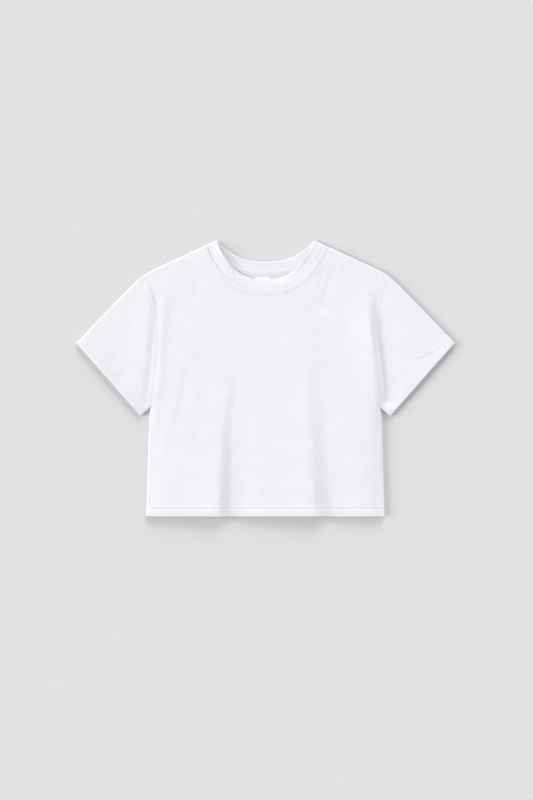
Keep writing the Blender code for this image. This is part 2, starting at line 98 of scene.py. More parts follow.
# Soft ridges (+) and troughs (-) of the upper cloth. Each runs down a curve through
# three points (across, up). The reaches are its half widths on the left and on the
# right at its end, narrow is their share at its start, and the fades in and out are
# shares of its length. Sharp is 0 for a rounded ridge and 1 for one with a crisp line.
MAIN_CREASES = {
    # name: start, middle, end,
    # height, left reach, right reach, narrow, fade in, fade out, sharp
    "body_right_crest": ((-0.064, 0.071), (-0.081, -0.114), (-0.089, -0.254),
        0.0037, 0.070, 0.023, 0.60, 1.60, 0.00, 0.40),
    "body_right_trough": ((-0.053, 0.071), (-0.062, -0.114), (-0.063, -0.254),
        -0.0060, 0.024, 0.085, 0.60, 1.60, 0.00, 0.20),
    "body_left_crest": ((0.077, 0.090), (0.082, -0.114), (0.087, -0.254),
        0.0034, 0.070, 0.031, 0.50, 1.60, 0.00, 0.45),
    "body_left_trough": ((0.093, 0.090), (0.110, -0.114), (0.123, -0.254),
        -0.0058, 0.034, 0.085, 0.50, 1.60, 0.00, 0.35),
    "arm_right_crest": ((-0.212, 0.173), (-0.222, 0.062), (-0.238, -0.066),
        0.0010, 0.045, 0.016, 0.85, 0.20, 0.12, 0.00),
    "arm_right_trough": ((-0.201, 0.173), (-0.206, 0.062), (-0.218, -0.055),
        -0.0007, 0.016, 0.018, 0.85, 0.20, 0.12, 0.00),
    "arm_left_crest": ((0.186, 0.177), (0.199, 0.062), (0.230, -0.114),
        0.0034, 0.060, 0.018, 0.90, 0.30, 0.36, 0.50),
    "arm_left_trough": ((0.203, 0.177), (0.211, 0.062), (0.223, -0.060),
        -0.0036, 0.018, 0.045, 0.90, 0.45, 0.08, 0.80),
}
SMALL_CREASES = {
    # the same columns
    "arm_right_ridge": ((-0.192, 0.152), (-0.1965, 0.010), (-0.2115, -0.135),
        0.00046, 0.012, 0.0095, 1.35, 0.15, 0.22, 0.0),
    "chest_right_dip": ((-0.171, 0.167), (-0.175, 0.092), (-0.177, 0.012),
        -0.00080, 0.018, 0.040, 0.80, 0.25, 0.35, 0.0),
    "side_trough": ((-0.144, 0.072), (-0.153, -0.033), (-0.202, -0.183),
        -0.00034, 0.017, 0.032, 0.60, 0.35, 0.30, 0.0),
    "side_ridge": ((-0.153, 0.030), (-0.168, -0.066), (-0.206, -0.175),
        0.00029, 0.016, 0.010, 0.60, 0.30, 0.25, 0.0),
    "arm_left_shelf": ((0.2160, 0.120), (0.2240, 0.034), (0.2290, -0.038),
        0.00045, 0.0085, 0.026, 0.85, 0.35, 0.25, 0.0),
    "cuff_left_upper": ((0.305, 0.068), (0.288, 0.063), (0.269, 0.054),
        0.00030, 0.006, 0.004, 0.70, 0.35, 0.35, 0.0),
    "cuff_left_lower": ((0.319, 0.055), (0.299, 0.047), (0.273, 0.036),
        0.00030, 0.007, 0.005, 0.60, 0.30, 0.35, 0.0),
    "cuff_left_dip": ((0.315, 0.049), (0.296, 0.040), (0.275, 0.030),
        -0.00026, 0.006, 0.007, 0.70, 0.30, 0.40, 0.0),
    "side_left_ridge": ((0.209, -0.098), (0.210, -0.148), (0.212, -0.203),
        0.00040, 0.006, 0.005, 0.80, 0.25, 0.30, 0.0),
    "shoulder_left_dip": ((0.120, 0.216), (0.117, 0.177), (0.103, 0.122),
        -0.00040, 0.014, 0.030, 0.60, 0.25, 0.50, 0.0),
    "shoulder_right_dip": ((-0.119, 0.216), (-0.129, 0.172), (-0.133, 0.122),
        -0.00040, 0.024, 0.018, 0.60, 0.25, 0.50, 0.0),
    "sleeve_right_dip": ((-0.263, 0.107), (-0.269, 0.062), (-0.263, 0.012),
        -0.00025, 0.020, 0.030, 0.70, 0.35, 0.35, 0.0),
    "centre_dip": ((0.011, -0.058), (0.005, -0.148), (0.015, -0.238),
        -0.00030, 0.020, 0.036, 0.60, 0.40, 0.20, 0.0),
    "hem_left_corner": ((0.175, -0.188), (0.185, -0.208), (0.199, -0.231),
        -0.00035, 0.007, 0.010, 0.60, 0.35, 0.25, 0.0),
}
# Where the lower cloth is off the ground, in soft shallow folds.
BACK_CREASES = {
    # the same columns
    "back_right_fold": ((-0.058, 0.070), (-0.088, -0.110), (-0.098, -0.256),
        0.0012, 0.013, 0.024, 0.60, 0.60, 0.00, 0.3),
    "back_left_fold": ((0.048, 0.010), (0.070, -0.120), (0.074, -0.256),
        0.0010, 0.020, 0.012, 0.60, 0.55, 0.00, 0.3),
    "back_middle_fold": ((-0.008, -0.080), (-0.004, -0.150), (-0.014, -0.235),
        0.0006, 0.014, 0.016, 0.60, 0.50, 0.30, 0.0),
    "back_side_left_fold": ((0.200, -0.072), (0.170, -0.118), (0.152, -0.196),
        0.0008, 0.014, 0.020, 0.60, 0.25, 0.50, 0.2),
    "back_side_right_fold": ((-0.200, -0.070), (-0.178, -0.104), (-0.168, -0.158),
        0.0007, 0.018, 0.012, 0.60, 0.25, 0.50, 0.2),
    "shoulder_blade_fold": ((-0.172, 0.142), (-0.132, 0.104), (-0.066, 0.086),
        0.0006, 0.016, 0.022, 0.60, 0.30, 0.50, 0.0),
    "under_sleeve_right_fold": ((-0.218, 0.096), (-0.232, 0.036), (-0.243, -0.034),
        0.0008, 0.013, 0.017, 0.70, 0.30, 0.30, 0.2),
    "under_sleeve_left_fold": ((0.224, 0.118), (0.236, 0.052), (0.246, -0.014),
        0.0007, 0.018, 0.012, 0.70, 0.30, 0.35, 0.2),
    "under_cuff_left_fold": ((0.258, 0.070), (0.274, 0.046), (0.294, 0.036),
        0.0005, 0.010, 0.012, 0.70, 0.35, 0.45, 0.0),
}
BACK_CREASE_CALM = 0.012  # they fade out this close to an edge
BACK_CREASE_SHARE = 0.6  # they take up at most this share of the room below the front
# Soft unevenness of jersey that lies loosely: wavelength, height, direction and phase.
WAVES = ((0.046, 0.00010, 20, 0.3), (0.061, 0.00012, 78, 1.9), (0.034, 0.00006, 131, 4.1),
         (0.023, 0.00004, 55, 2.2), (0.017, 0.00003, 160, 5.0), (0.012, 0.00002, 100, 0.9))
WAVE_BEND = 0.8  # how far the waves bend, in radians
WAVE_BEND_LENGTH = 2.3  # length of a bend, in wavelengths
WAVE_BEND_PHASE = 1.7

# ---- Seams, turned edges and stitches ----
FOLD_RADIUS = 0.00045  # the pressed folds of hem and cuffs
FOLD_BLUNTNESS = 0.03  # square of the share of the wall that is left at the fold's line
HEM_STEP = 0.0016  # stretch over which the turned cloth ends
HEM_GROOVE = 0.0147  # middle of the shallow groove between the rows of stitches
HEM_GROOVE_REACH = 0.0025
HEM_GROOVE_DEPTH = 0.00042
CUFF_GROOVE_DEPTH = 0.00025
HEM_STITCH_ROWS = (0.0122, 0.0186)  # rows of coverstitch above the fold
NECK_STITCH_ROWS = (0.0010, 0.0074)  # rows of coverstitch below the neck seam
TAPE_STITCH_ROWS = (0.0010, 0.0044)  # rows on the tape inside the back neck
ALLOWANCE_WIDTH = 0.0080  # cloth raised by the seam allowance below the neckband
ALLOWANCE_RISE = 0.00045
ALLOWANCE_STEP = 0.0014
TAPE_WIDTH = 0.0052  # tape over the seam allowance inside the back neck
TAPE_RISE = 0.0007
TAPE_STEP = 0.0010
TAPE_CLEARANCE = 0.0030  # the tape ends short of the shoulders
SEAM_DIP = 0.00018  # cloth sinks into a seam
SEAM_DIP_REACH = 0.0014
ARMHOLE_DIP = 0.00012
STITCH_DIP = 0.00016  # cloth sinks under a row of stitches
STITCH_DIP_REACH = 0.0010
SLEEVE_ALLOWANCE = 0.0065  # cloth raised by the seam allowance at the armhole
SLEEVE_ALLOWANCE_RISE = 0.00022
STITCH_PITCH = 0.0030
STITCH_RADIUS = 0.00020
STITCH_SINK = 0.00012
STITCH_SHELTER = 0.00014  # stitches under the cloth lie this much deeper, off the ground
STITCH_SIDES = 6
HEM_ROW_END = 0.7  # rows end this far from the edge, in radii of its roll
CUFF_ROW_END = 0.8
NECK_ROW_REACH = 0.985  # shares of the neckline that the rows follow
TAPE_ROW_REACH = 0.93
# One stitch: shares of the pitch, lift in radii and thickness in radii.
STITCH_RINGS = ((0.06, -0.5, 0.45), (0.25, 0.45, 0.95), (0.5, 0.75, 1.0),
                (0.75, 0.45, 0.95), (0.94, -0.5, 0.45))
RIB_PITCH = 0.0017
RIB_RELIEF = 0.00013
RIB_FOLD = 0.0005  # roundness of the pressed fold at the free edge
RIB_SECTIONS = 6  # points along each rib's width
RIB_CLOTH = 0.00092  # one of the two layers of the folded rib
RIB_FADE = 0.0016  # the ribs flatten this close to the neck seam
# The neckband's free edge in front, along shares of half the band from its middle.
FREE_EDGE_LIFT = 0.0034  # how high it stands up on the wearer's right
FREE_EDGE_LIFTED = (-1.0, 0.08, -0.58, 0.32)  # start, ease in, end, ease out
FREE_EDGE_LEFT_LIFT = 0.0012  # and on the wearer's left
FREE_EDGE_LEFT_LIFTED = (0.80, 0.14)  # middle, reach
FREE_EDGE_SINK = 0.0010  # how low it lies in the middle
FREE_EDGE_SUNK = (-0.76, 0.3, 0.75, 0.4)
FREE_EDGE_TUCK = 0.0007  # and how much lower on both sides of it
FREE_EDGE_TUCKED = ((-0.46, 0.15), (0.42, 0.16))
LABEL_BED = 0.3  # the label lies on this share of the seam allowance's rise
LABEL_CURL = 0.0003
LABEL_FOLD_RADIUS = LABEL_THICKNESS / 2
LABEL_EDGE_RADIUS = LABEL_THICKNESS / 4
LABEL_BLUNTNESS = 0.02
SELVEDGE_WIDTH = 0.0009
SELVEDGE_RISE = 0.00004

# ---- Fineness ----
ARC_STEPS = 24
CURVE_STEPS = 60
CREASE_STEPS = 20
CELL = 0.0026
SEAM_CELL = 0.0009
HEM_CELL = SEAM_CELL * 1.15
RIB_CELL = 0.0022
RIB_FOLD_POINTS = 9
LABEL_CELL = 0.0005
LAST_CELL = 0.0045  # room beside an edge for the lines of its roll
NECK_ZONE = 0.0125  # stretch below the neckband with lines along the neckline
ROLL_LINES = (1.45, 1.0, 0.72, 0.5, 0.3, 0.134, 0.034)  # in radii of the roll
ROLL_ROOM = 0.6  # they take up at most this share of a cell
NECK_ROLL_LINE = 1.2  # line along the neck where they are placed, in widths of the band
NECK_ROLL_ROOM = 0.002
NECK_ROLL_REACH = 0.6  # square root of the share of the neckline that can meet the roll
FOLD_LINES = (0.0, 0.00005, 0.00018, 0.00045, 0.0009)
TOUCHING = 1e-9
NECK_SAMPLES = 2000
NECK_ROW_POINTS = 161
RELAX_ROUNDS = 150
SHARP_ANGLE = math.radians(60)
NECK_LEVEL = BODY_LENGTH / 2


# ---- Paths in plan ----
def below_neck(across, drop):
    """Plan position of a point given by its distance below the neck."""
    return np.array((across, NECK_LEVEL - drop))


def arc_length(path):
    """Distance along a path at each of its points."""
    steps = np.linalg.norm(np.diff(path, axis=0), axis=1)
    return np.concatenate(([0.0], np.cumsum(steps)))


def shares_along(path):
    """Share of a path's length at each of its points."""
    return arc_length(path) / arc_length(path)[-1]


def at_distances(path, distances):
    """Points on a path at given distances from its start."""
    lengths = arc_length(path)
    return np.column_stack([np.interp(distances, lengths, values) for values in path.T])


def bezier(points, steps):
    """Bezier curve with the given control points."""
    shares = np.linspace(0.0, 1.0, steps + 1)[:, None]
    layer = [np.ones_like(shares) * np.array(point) for point in points]
    while len(layer) > 1:
        layer = [first * (1 - shares) + second * shares
                 for first, second in zip(layer, layer[1:])]
    return layer[0]


def nearest(path, x, y):
    """Distance to a path, the unit way from it, the share along it and the side (left is +).

    On the path itself the way points to its right.
    """
    lengths = arc_length(path)
    best = np.full(x.shape, np.inf)
    way_x, way_y, along, side = (np.zeros(x.shape) for _ in range(4))
    for before, start, end in zip(lengths, path, path[1:]):
        run = end - start
        length = np.hypot(*run)
        share = np.clip(((x - start[0]) * run[0] + (y - start[1]) * run[1]) / length ** 2, 0, 1)
        off_x = x - start[0] - share * run[0]
        off_y = y - start[1] - share * run[1]
        distance = np.hypot(off_x, off_y)
        closer = distance < best
        touching = distance < TOUCHING
        safe = np.where(touching, 1.0, distance)
        best = np.where(closer, distance, best)
        way_x = np.where(closer, np.where(touching, run[1] / length, off_x / safe), way_x)
        way_y = np.where(closer, np.where(touching, -run[0] / length, off_y / safe), way_y)
        along = np.where(closer, (before + share * length) / lengths[-1], along)
        side = np.where(closer, np.sign(run[0] * off_y - run[1] * off_x), side)
    return best, way_x, way_y, along, side


def distance_along(path, point):
    """Distance from the start of a path to where it comes closest to a point."""
    along = nearest(path, np.array(point[0]), np.array(point[1]))[3]
    return float(along) * arc_length(path)[-1]


def spaced(start, end, cell):
    """Distances from start to end in equal steps of about one cell."""
    return np.linspace(start, end, max(2, round(abs(end - start) / cell) + 1))


# ---- Plan of the garment: its right-hand half as seen from above ----
def neck_point(share, across, neck):
    """Point of the neckband, from its left (-1) to its right shoulder and across from its free edge."""
    drop = neck["drop"]
    steepness = np.where(share < 0, neck["left"], neck["right"])
    bend = np.clip(1 - np.abs(share) ** NECK_POWER, 0.0, 1.0) ** steepness
    seam_half = NECK_HALF + RIB_WIDTH * math.cos(SHOULDER_SLOPE)
    seam_level = RIB_WIDTH * math.sin(SHOULDER_SLOPE)
    seam_drop = seam_level + (drop + RIB_WIDTH - seam_level) * bend
    free = np.stack((share * NECK_HALF, NECK_LEVEL - drop * bend), axis=-1)
    seam = np.stack((share * seam_half, NECK_LEVEL - seam_drop), axis=-1)
    across = np.asarray(across)[..., None]
    return free * (1 - across) + seam * across


def shares_round_neck(count):
    """Shares from the left to the right shoulder, closer together by both."""
    return np.sin(np.linspace(-1.0, 1.0, count) * math.pi / 2)


def neck_line(neck, across):
    """The neckline, or a line along it, from the left to the right shoulder."""
    return neck_point(shares_round_neck(NECK_SAMPLES // 10 + 1), across, neck)


def top_edge():
    """Rolled upper edge: shoulder, rounded corner, sleeve, tip. It starts inside the neck."""
    turn = SLEEVE_SLOPE - SHOULDER_SLOPE
    along_shoulder = np.array((math.cos(SHOULDER_SLOPE), -math.sin(SHOULDER_SLOPE)))
    along_sleeve = np.array((math.cos(SLEEVE_SLOPE), -math.sin(SLEEVE_SLOPE)))
    down = np.array((along_shoulder[1], -along_shoulder[0]))
    start = below_neck(NECK_HALF, 0.0) - along_shoulder * RIB_WIDTH
    corner = below_neck(SHOULDER_HALF,
                        (SHOULDER_HALF - NECK_HALF) * math.tan(SHOULDER_SLOPE))
    arc_start = corner - along_shoulder * SHOULDER_RADIUS * math.tan(turn / 2)
    angles = math.pi / 2 - SHOULDER_SLOPE - np.linspace(0.0, turn, ARC_STEPS + 1)
    spokes = np.column_stack((np.cos(angles), np.sin(angles)))
    arc = arc_start + SHOULDER_RADIUS * (down + spokes)
    tip = corner + along_sleeve * (SPAN_HALF - SHOULDER_HALF) / math.cos(SLEEVE_SLOPE)
    return np.vstack((start, arc, tip))


def side_edge():
    """Rolled side edge from the underarm down to the hem."""
    underarm = below_neck(*UNDERARM)
    hem_corner = np.array((HEM_HALF, -NECK_LEVEL))
    chest = np.array((CHEST_HALF, underarm[1] - SIDE_BEND / 2))
    bend_end = chest + (hem_corner - chest) * SIDE_BEND / 2 / (chest[1] - hem_corner[1])
    return np.vstack((bezier((underarm, chest, bend_end), ARC_STEPS), hem_corner))


TOP_EDGE = top_edge()
SIDE_EDGE = side_edge()
UNDERARM_EDGE = np.vstack((below_neck(*UNDERARM), below_neck(*CUFF_LOW)))
CUFF_EDGE = np.vstack((TOP_EDGE[-1], UNDERARM_EDGE[-1]))
CUFF_RUN = (CUFF_EDGE[1] - CUFF_EDGE[0]) / np.linalg.norm(CUFF_EDGE[1] - CUFF_EDGE[0])
CUFF_INWARDS = np.array((CUFF_RUN[1], -CUFF_RUN[0]))
SHOULDER_POINT = at_distances(TOP_EDGE[1:-1], [arc_length(TOP_EDGE[1:-1])[-1] / 2])[0]
ARMHOLE = bezier((SHOULDER_POINT, below_neck(*ARMHOLE_PULL[0]),
                  below_neck(*ARMHOLE_PULL[1]), below_neck(*UNDERARM)), CURVE_STEPS)
ROLLED_EDGES = (TOP_EDGE, np.vstack((UNDERARM_EDGE[::-1], SIDE_EDGE[1:])))


def edge_distance(x, y):
    """Distance from the garment's rolled edges, and the unit way inwards from them."""
    found = [nearest(path, np.abs(x), y)[:3] for path in ROLLED_EDGES]
    first = found[0][0] <= found[1][0]
    distance, way_x, way_y = (np.where(first, one, two) for one, two in zip(*found))
    return distance, way_x * np.where(x < 0, -1.0, 1.0), way_y


def armhole_side(towards):
    """The armhole moved half a seam gap: towards is +1 for the sleeve, -1 for the body."""
    direction = np.gradient(ARMHOLE, axis=0)
    direction /= np.linalg.norm(direction, axis=1, keepdims=True)
    outwards = np.column_stack((-direction[:, 1], direction[:, 0]))
    moved = ARMHOLE + outwards * towards * SEAM_GAP / 2
    shoulder = distance_along(TOP_EDGE, SHOULDER_POINT) + towards * SEAM_GAP / 2
    moved[0] = at_distances(TOP_EDGE, [shoulder])[0]
    lower = UNDERARM_EDGE if towards > 0 else SIDE_EDGE
    moved[-1] = at_distances(lower, [NOTCH_SLIDE])[0]
    return moved


# ---- Height of the cloth ----
def smooth(value):
    """Eases from 0 to 1."""
    value = np.clip(value, 0.0, 1.0)
    return value * value * (3 - 2 * value)


def stretch(value, start, ease_in, end, ease_out):
    """1 between start and end, easing in after the one and out before the other."""
    return smooth((value - start) / ease_in) * smooth((end - value) / ease_out)


def bell(distance, reach):
    """1 at distance 0, fading over the reach."""
    return np.exp(-(distance / reach) ** 2)


def within(distance, reach, step):
    """1 within the reach, easing to 0 over the step beyond it."""
    return 1 - smooth((distance - reach) / step)


def round_share(share, bluntness):
    """Thickness of a rounded edge, at shares of its radius from its line."""
    return np.sqrt(np.maximum(1 - (1 - share) ** 2, bluntness))


def crease_relief(x, y, creases):
    """Sum of soft ridges and troughs."""
    relief = np.zeros(x.shape)
    for start, middle, end, height, left, right, narrow, fade_in, fade_out, sharp in creases.values():
        control = 2 * np.array(middle) - (np.array(start) + np.array(end)) / 2
        distance, _, _, along, side = nearest(bezier((start, control, end), CREASE_STEPS), x, y)
        reach = np.where(side > 0, right, left) * (narrow + (1 - narrow) * along)
        share = np.minimum(distance / reach, 1.0)
        swell = (1 - sharp) * (0.5 + 0.5 * np.cos(math.pi * share)) + sharp * (1 - share) ** 2
        strength = smooth(along / fade_in)
        if fade_out:
            strength = strength * smooth((1 - along) / fade_out)
        relief += height * swell * strength
    return relief


def wave_relief(x, y):
    """Slight unevenness all over."""
    relief = np.zeros(x.shape)
    for wavelength, height, degrees, phase in WAVES:
        angle = math.radians(degrees)
        run = x * math.cos(angle) + y * math.sin(angle)
        cross = y * math.cos(angle) - x * math.sin(angle)
        turn = cross * 2 * math.pi / (wavelength * WAVE_BEND_LENGTH)
        bend = WAVE_BEND * np.sin(turn + phase * WAVE_BEND_PHASE)
        relief += height * np.sin(run * 2 * math.pi / wavelength + phase + bend)
    return relief


def front_height(x, y):
    """Top of the upper cloth, away from the roll at its edges."""
    distance, _, _ = edge_distance(x, y)
    lift = LIFT_CHEST + (LIFT_HEM - LIFT_CHEST) * smooth((NECK_LEVEL - y) / BODY_LENGTH)
    on_sleeve = smooth((np.abs(x) - CHEST_HALF + LIFT_REACH) / (2 * LIFT_REACH))
    lift = lift + (LIFT_SLEEVE - lift) * on_sleeve
    height = 2 * EDGE_HALF + lift * (1 - np.exp(-distance / LIFT_REACH))
    relief = crease_relief(x, y, MAIN_CREASES)
    relief += crease_relief(x, y, SMALL_CREASES) + wave_relief(x, y)
    height += relief * (1 - np.exp(-(distance / CREASE_CALM) ** 2))
    lowest = lowest_front(y)
    above = height - lowest
    return lowest + 0.5 * (above + np.sqrt(above ** 2 + FLOOR_SOFTNESS ** 2))


def lowest_front(y):
    """Top of the upper cloth where it lies on the lower cloth."""
    near_hem = smooth(1 - (y + NECK_LEVEL - HEM_DEPTH) / FLOOR_BLEND)
    return FLOOR_SINGLE + (FLOOR_HEM - FLOOR_SINGLE) * near_hem


def back_height(x, y):
    """Underside of the lower cloth, away from the roll at its edges."""
    room = front_height(x, y) - lowest_front(y)
    rise = np.minimum(crease_relief(x, y, BACK_CREASES), BACK_CREASE_SHARE * room)
    return rise * (1 - np.exp(-(edge_distance(x, y)[0] / BACK_CREASE_CALM) ** 2))


def turned(fold):
    """1 on the turned cloth and 0 beyond it, given the distance from the fold."""
    return within(fold, HEM_DEPTH - HEM_STEP / 2, HEM_STEP)


def seam_relief(x, y, fold, neck, side):
    """How far seams and stitches sink the outer surface, and allowances raise the upper one."""
    armhole = nearest(ARMHOLE, np.abs(x), y)[0]
    rise, groove = (HEM_RISE, HEM_GROOVE_DEPTH) if neck else (CUFF_RISE, CUFF_GROOVE_DEPTH)
    sink = ARMHOLE_DIP * bell(armhole, SEAM_DIP_REACH)
    sink += groove * bell(fold - HEM_GROOVE, HEM_GROOVE_REACH)
    raised = rise * turned(fold)
    rows = [(fold, row) for row in HEM_STITCH_ROWS]
    if neck:
        seam = nearest(neck_line(neck, 1.0), x, y)[0]
        sink += SEAM_DIP * bell(seam, SEAM_DIP_REACH)
        raised += ALLOWANCE_RISE * within(seam, ALLOWANCE_WIDTH, ALLOWANCE_STEP)
        rows += [(seam, row) for row in NECK_STITCH_ROWS]
    else:
        raised += SLEEVE_ALLOWANCE_RISE * within(armhole, SLEEVE_ALLOWANCE, ALLOWANCE_STEP)
    for distance, row in rows:
        sink += STITCH_DIP * bell(distance - row, STITCH_DIP_REACH)
    return (raised if side > 0 else 0.0) - sink


def roll(distance):
    """How level and how upright the cloth's normal is in the roll, by distance from the edge."""
    level = np.clip(1 - distance / EDGE_HALF, 0.0, 1.0)
    return level, np.sqrt(1 - level ** 2)


def surface(x, y, rise, side, rim):
    """Outer point and outward normal of the upper (+1) or the lower cloth (-1)."""
    distance, way_x, way_y = edge_distance(x, y)
    level, upright = roll(distance)
    far = front_height(x, y) + rise if side > 0 else back_height(x, y) - rise
    outer = np.stack((x, y, rim + (far - rim) * upright), axis=-1)
    normal = np.stack((-way_x * level, -way_y * level, side * upright), axis=-1)
    return outer, normal


def back_allowance(x, y):
    """Rise of the taped seam allowance on the inside of the back."""
    distance = nearest(neck_line(BACK_NECK, 1.0), x, y)[0]
    away_from_roll = smooth(edge_distance(x, y)[0] / TAPE_CLEARANCE - 1)
    return TAPE_RISE * within(distance, TAPE_WIDTH, TAPE_STEP) * away_from_roll


def cloth_layers(plan, fold, neck, side, rim):
    """Outer and inner points of a wall over plan positions, thinned to a round at the fold."""
    x, y = plan[..., 0], plan[..., 1]
    outer, normal = surface(x, y, seam_relief(x, y, fold, neck, side), side, rim)
    wall = WALL + (HEM_WALL - WALL) * turned(fold)
    if neck and side < 0:
        wall = wall + back_allowance(x, y)
    wall = wall[..., None]
    full = np.clip(fold[..., None] / FOLD_RADIUS, 0.0, 1.0)
    loss = wall / 2 * (1 - round_share(full, FOLD_BLUNTNESS))
    return outer - normal * loss, outer - normal * (wall - loss)


# ---- Grids of plan positions ----
NEAR_ROLL = np.array(ROLL_LINES[::-1]) * EDGE_HALF  # from the rolled edge inwards


def crowd(lines):
    """Adds lines close to the last line of a grid, where the cloth rolls over."""
    last, before = lines[-1], lines[-2]
    gap = np.linalg.norm(before - last, axis=-1, keepdims=True)
    scale = np.minimum(EDGE_HALF / gap, ROLL_ROOM)
    extra = [last + (before - last) * share * scale for share in ROLL_LINES]
    return np.concatenate((lines[:-1], extra, lines[-1:]))


def patch(first_row, last_row, first_column, last_column):
    """Plan positions between four edges that share their corners."""
    across = shares_along(last_row)[None, :, None]
    up = shares_along(last_column)[:, None, None]
    rows = first_row[None] * (1 - up) + last_row[None] * up
    columns = first_column[:, None] * (1 - across) + last_column[:, None] * across
    corners = ((first_row[0] * (1 - across) + first_row[-1] * across) * (1 - up)
               + (last_row[0] * (1 - across) + last_row[-1] * across) * up)
    return rows + columns - corners


def relaxed(grid):
    """Evens out the cells of a grid between its fixed edges, so that none folds over."""
    for _ in range(RELAX_ROUNDS):
        up = (grid[2:, 1:-1] - grid[:-2, 1:-1]) / 2
        across = (grid[1:-1, 2:] - grid[1:-1, :-2]) / 2
        twist = (grid[2:, 2:] - grid[2:, :-2] - grid[:-2, 2:] + grid[:-2, :-2]) / 4
        long, wide, lean = (np.sum(one * two, axis=-1, keepdims=True)
                            for one, two in ((up, up), (across, across), (up, across)))
        inner = (wide * (grid[2:, 1:-1] + grid[:-2, 1:-1])
                 + long * (grid[1:-1, 2:] + grid[1:-1, :-2]) - 2 * lean * twist)
        grid = grid.copy()
        grid[1:-1, 1:-1] = inner / (2 * (long + wide))
    return grid


def neck_shares(neck, side):
    """Shares along half of the neckline in even steps, closer by the shoulder's roll."""
    fine = side * np.linspace(0.0, 1.0, NECK_SAMPLES)
    lengths = arc_length(neck_point(fine, 1.0, neck))
    even = np.interp(spaced(0.0, lengths[-1] - LAST_CELL, CELL), lengths, fine * side)
    lines = np.array(ROLL_LINES[1:]) * EDGE_HALF
    near = np.abs(neck_shares_at(lines, NECK_ROLL_LINE, neck, side))
    return side * np.concatenate((even[even < near[0] - NECK_ROLL_ROOM], near, [1.0]))


def neck_shares_at(distances, across, neck, side):
    """Shares at which a line of the neckband lies at given distances from the shoulder's edge."""
    fine = 1 - np.linspace(0.0, NECK_ROLL_REACH, NECK_SAMPLES) ** 2
    line = neck_point(side * fine, across, neck)
    return side * np.interp(distances, edge_distance(line[:, 0], line[:, 1])[0], fine)


def half_width(level):
    """Half of the body's width at a height in plan."""
    return np.interp(level, SIDE_EDGE[::-1, 1], SIDE_EDGE[::-1, 0])


def fold_rows(depth):
    """Distances from a fold to the end of the turned cloth, close at the fold and the rows."""
    first = np.array(FOLD_LINES)
    return np.concatenate((first, spaced(first[-1], depth, HEM_CELL)[1:]))


def neck_rows(neck, side):
    """Rows beside half of the neckline, laid out to the right, from the farthest to the seam."""
    shares = neck_shares(neck, side)
    zone = np.append(spaced(NECK_ZONE, SEAM_CELL, SEAM_CELL), SEAM_GAP)[:, None]
    clearance = ROLL_CLEARANCE * np.abs(shares) ** ROLL_CLEARANCE_POWER
    across = 1 + (zone + clearance * (zone < SEAM_CELL)) / RIB_WIDTH
    return neck_point(shares, across, neck) * np.array((side, 1.0))


def flank_column(hem_top, armhole):
    """Points up the side from the end of the hem and on up the armhole."""
    hem_run = distance_along(SIDE_EDGE, (half_width(hem_top), hem_top))
    flank = at_distances(SIDE_EDGE, spaced(hem_run, NOTCH_SLIDE, CELL))
    run = arc_length(armhole)[-1]
    steps = spaced(NEAR_ROLL[-1], run - LAST_CELL, CELL)[1:]
    return np.vstack((flank, at_distances(armhole, np.concatenate((NEAR_ROLL, steps, [run])))))


def panel_half(neck, side, hem_level):
    """Plan of half of a body panel, laid out to the right: rows from the hem up, and the
    rows beside the neckline that go on from the first points of the last row."""
    beside_neck = neck_rows(neck, side)
    armhole = armhole_side(-1)[::-1]
    shoulder_start = distance_along(TOP_EDGE, beside_neck[0, -1])
    shoulder_end = distance_along(TOP_EDGE, armhole[-1])
    shoulder = np.append(spaced(shoulder_start, shoulder_end - LAST_CELL, CELL)[1:], shoulder_end)
    last_row = np.vstack((beside_neck[0], at_distances(TOP_EDGE, shoulder)))

    hem_top = -NECK_LEVEL + HEM_DEPTH + HEM_STEP
    last_column = flank_column(hem_top, armhole)
    up = shares_along(last_column)
    centre = np.column_stack((np.zeros_like(up), hem_top + (last_row[0, 1] - hem_top) * up))
    across = shares_along(last_row)
    hem = np.array([np.column_stack((half_width(level) * across, np.full(across.shape, level)))
                    for level in hem_level + fold_rows(hem_top - hem_level)])
    body = relaxed(patch(hem[-1], last_row, centre, last_column))
    half = np.concatenate((hem[:-1], body))
    return crowd(crowd(half.swapaxes(0, 1)).swapaxes(0, 1)), beside_neck


def mirrored(left, right):
    """A left half, laid out to the right, joined to a right half at the centre line."""
    left = left[:, :0:-1] * np.array((-1.0, 1.0))
    return np.concatenate((left, right), axis=1)


def sleeve_grid():
    """Plan of one layer of the sleeve in rows from armhole to cuff."""
    armhole = armhole_side(1)
    run = arc_length(armhole)[-1]
    ends = LAST_CELL / run
    inside = np.linspace(ends, 1 - ends, round(run / CELL))
    shares = np.concatenate(([0.0], inside, [1.0]))
    depth = HEM_DEPTH + HEM_STEP
    top_start = distance_along(TOP_EDGE, armhole[0])
    top_end = arc_length(TOP_EDGE)[-1] - depth
    upper_at = np.concatenate(([0.0], NEAR_ROLL,
                               spaced(NEAR_ROLL[-1], top_end - top_start, CELL)[1:]))
    low_run = arc_length(UNDERARM_EDGE)[-1] - depth - NOTCH_SLIDE
    upper = at_distances(TOP_EDGE, top_start + upper_at)
    lower = at_distances(UNDERARM_EDGE, NOTCH_SLIDE + low_run * upper_at / upper_at[-1])
    cuff_top = upper[-1] + (lower[-1] - upper[-1]) * shares[:, None]
    sleeve = patch(at_distances(armhole, shares * run), cuff_top, upper, lower)
    cuff_edge = CUFF_EDGE[0] + (CUFF_EDGE[1] - CUFF_EDGE[0]) * shares[:, None]
    inwards = fold_rows(depth)[-2::-1] / depth
    cuff = [cuff_edge + (cuff_top - cuff_edge) * share for share in inwards]
    grid = np.concatenate((sleeve, np.array(cuff)))
    return crowd(crowd(grid.swapaxes(0, 1))[::-1])[::-1].swapaxes(0, 1)


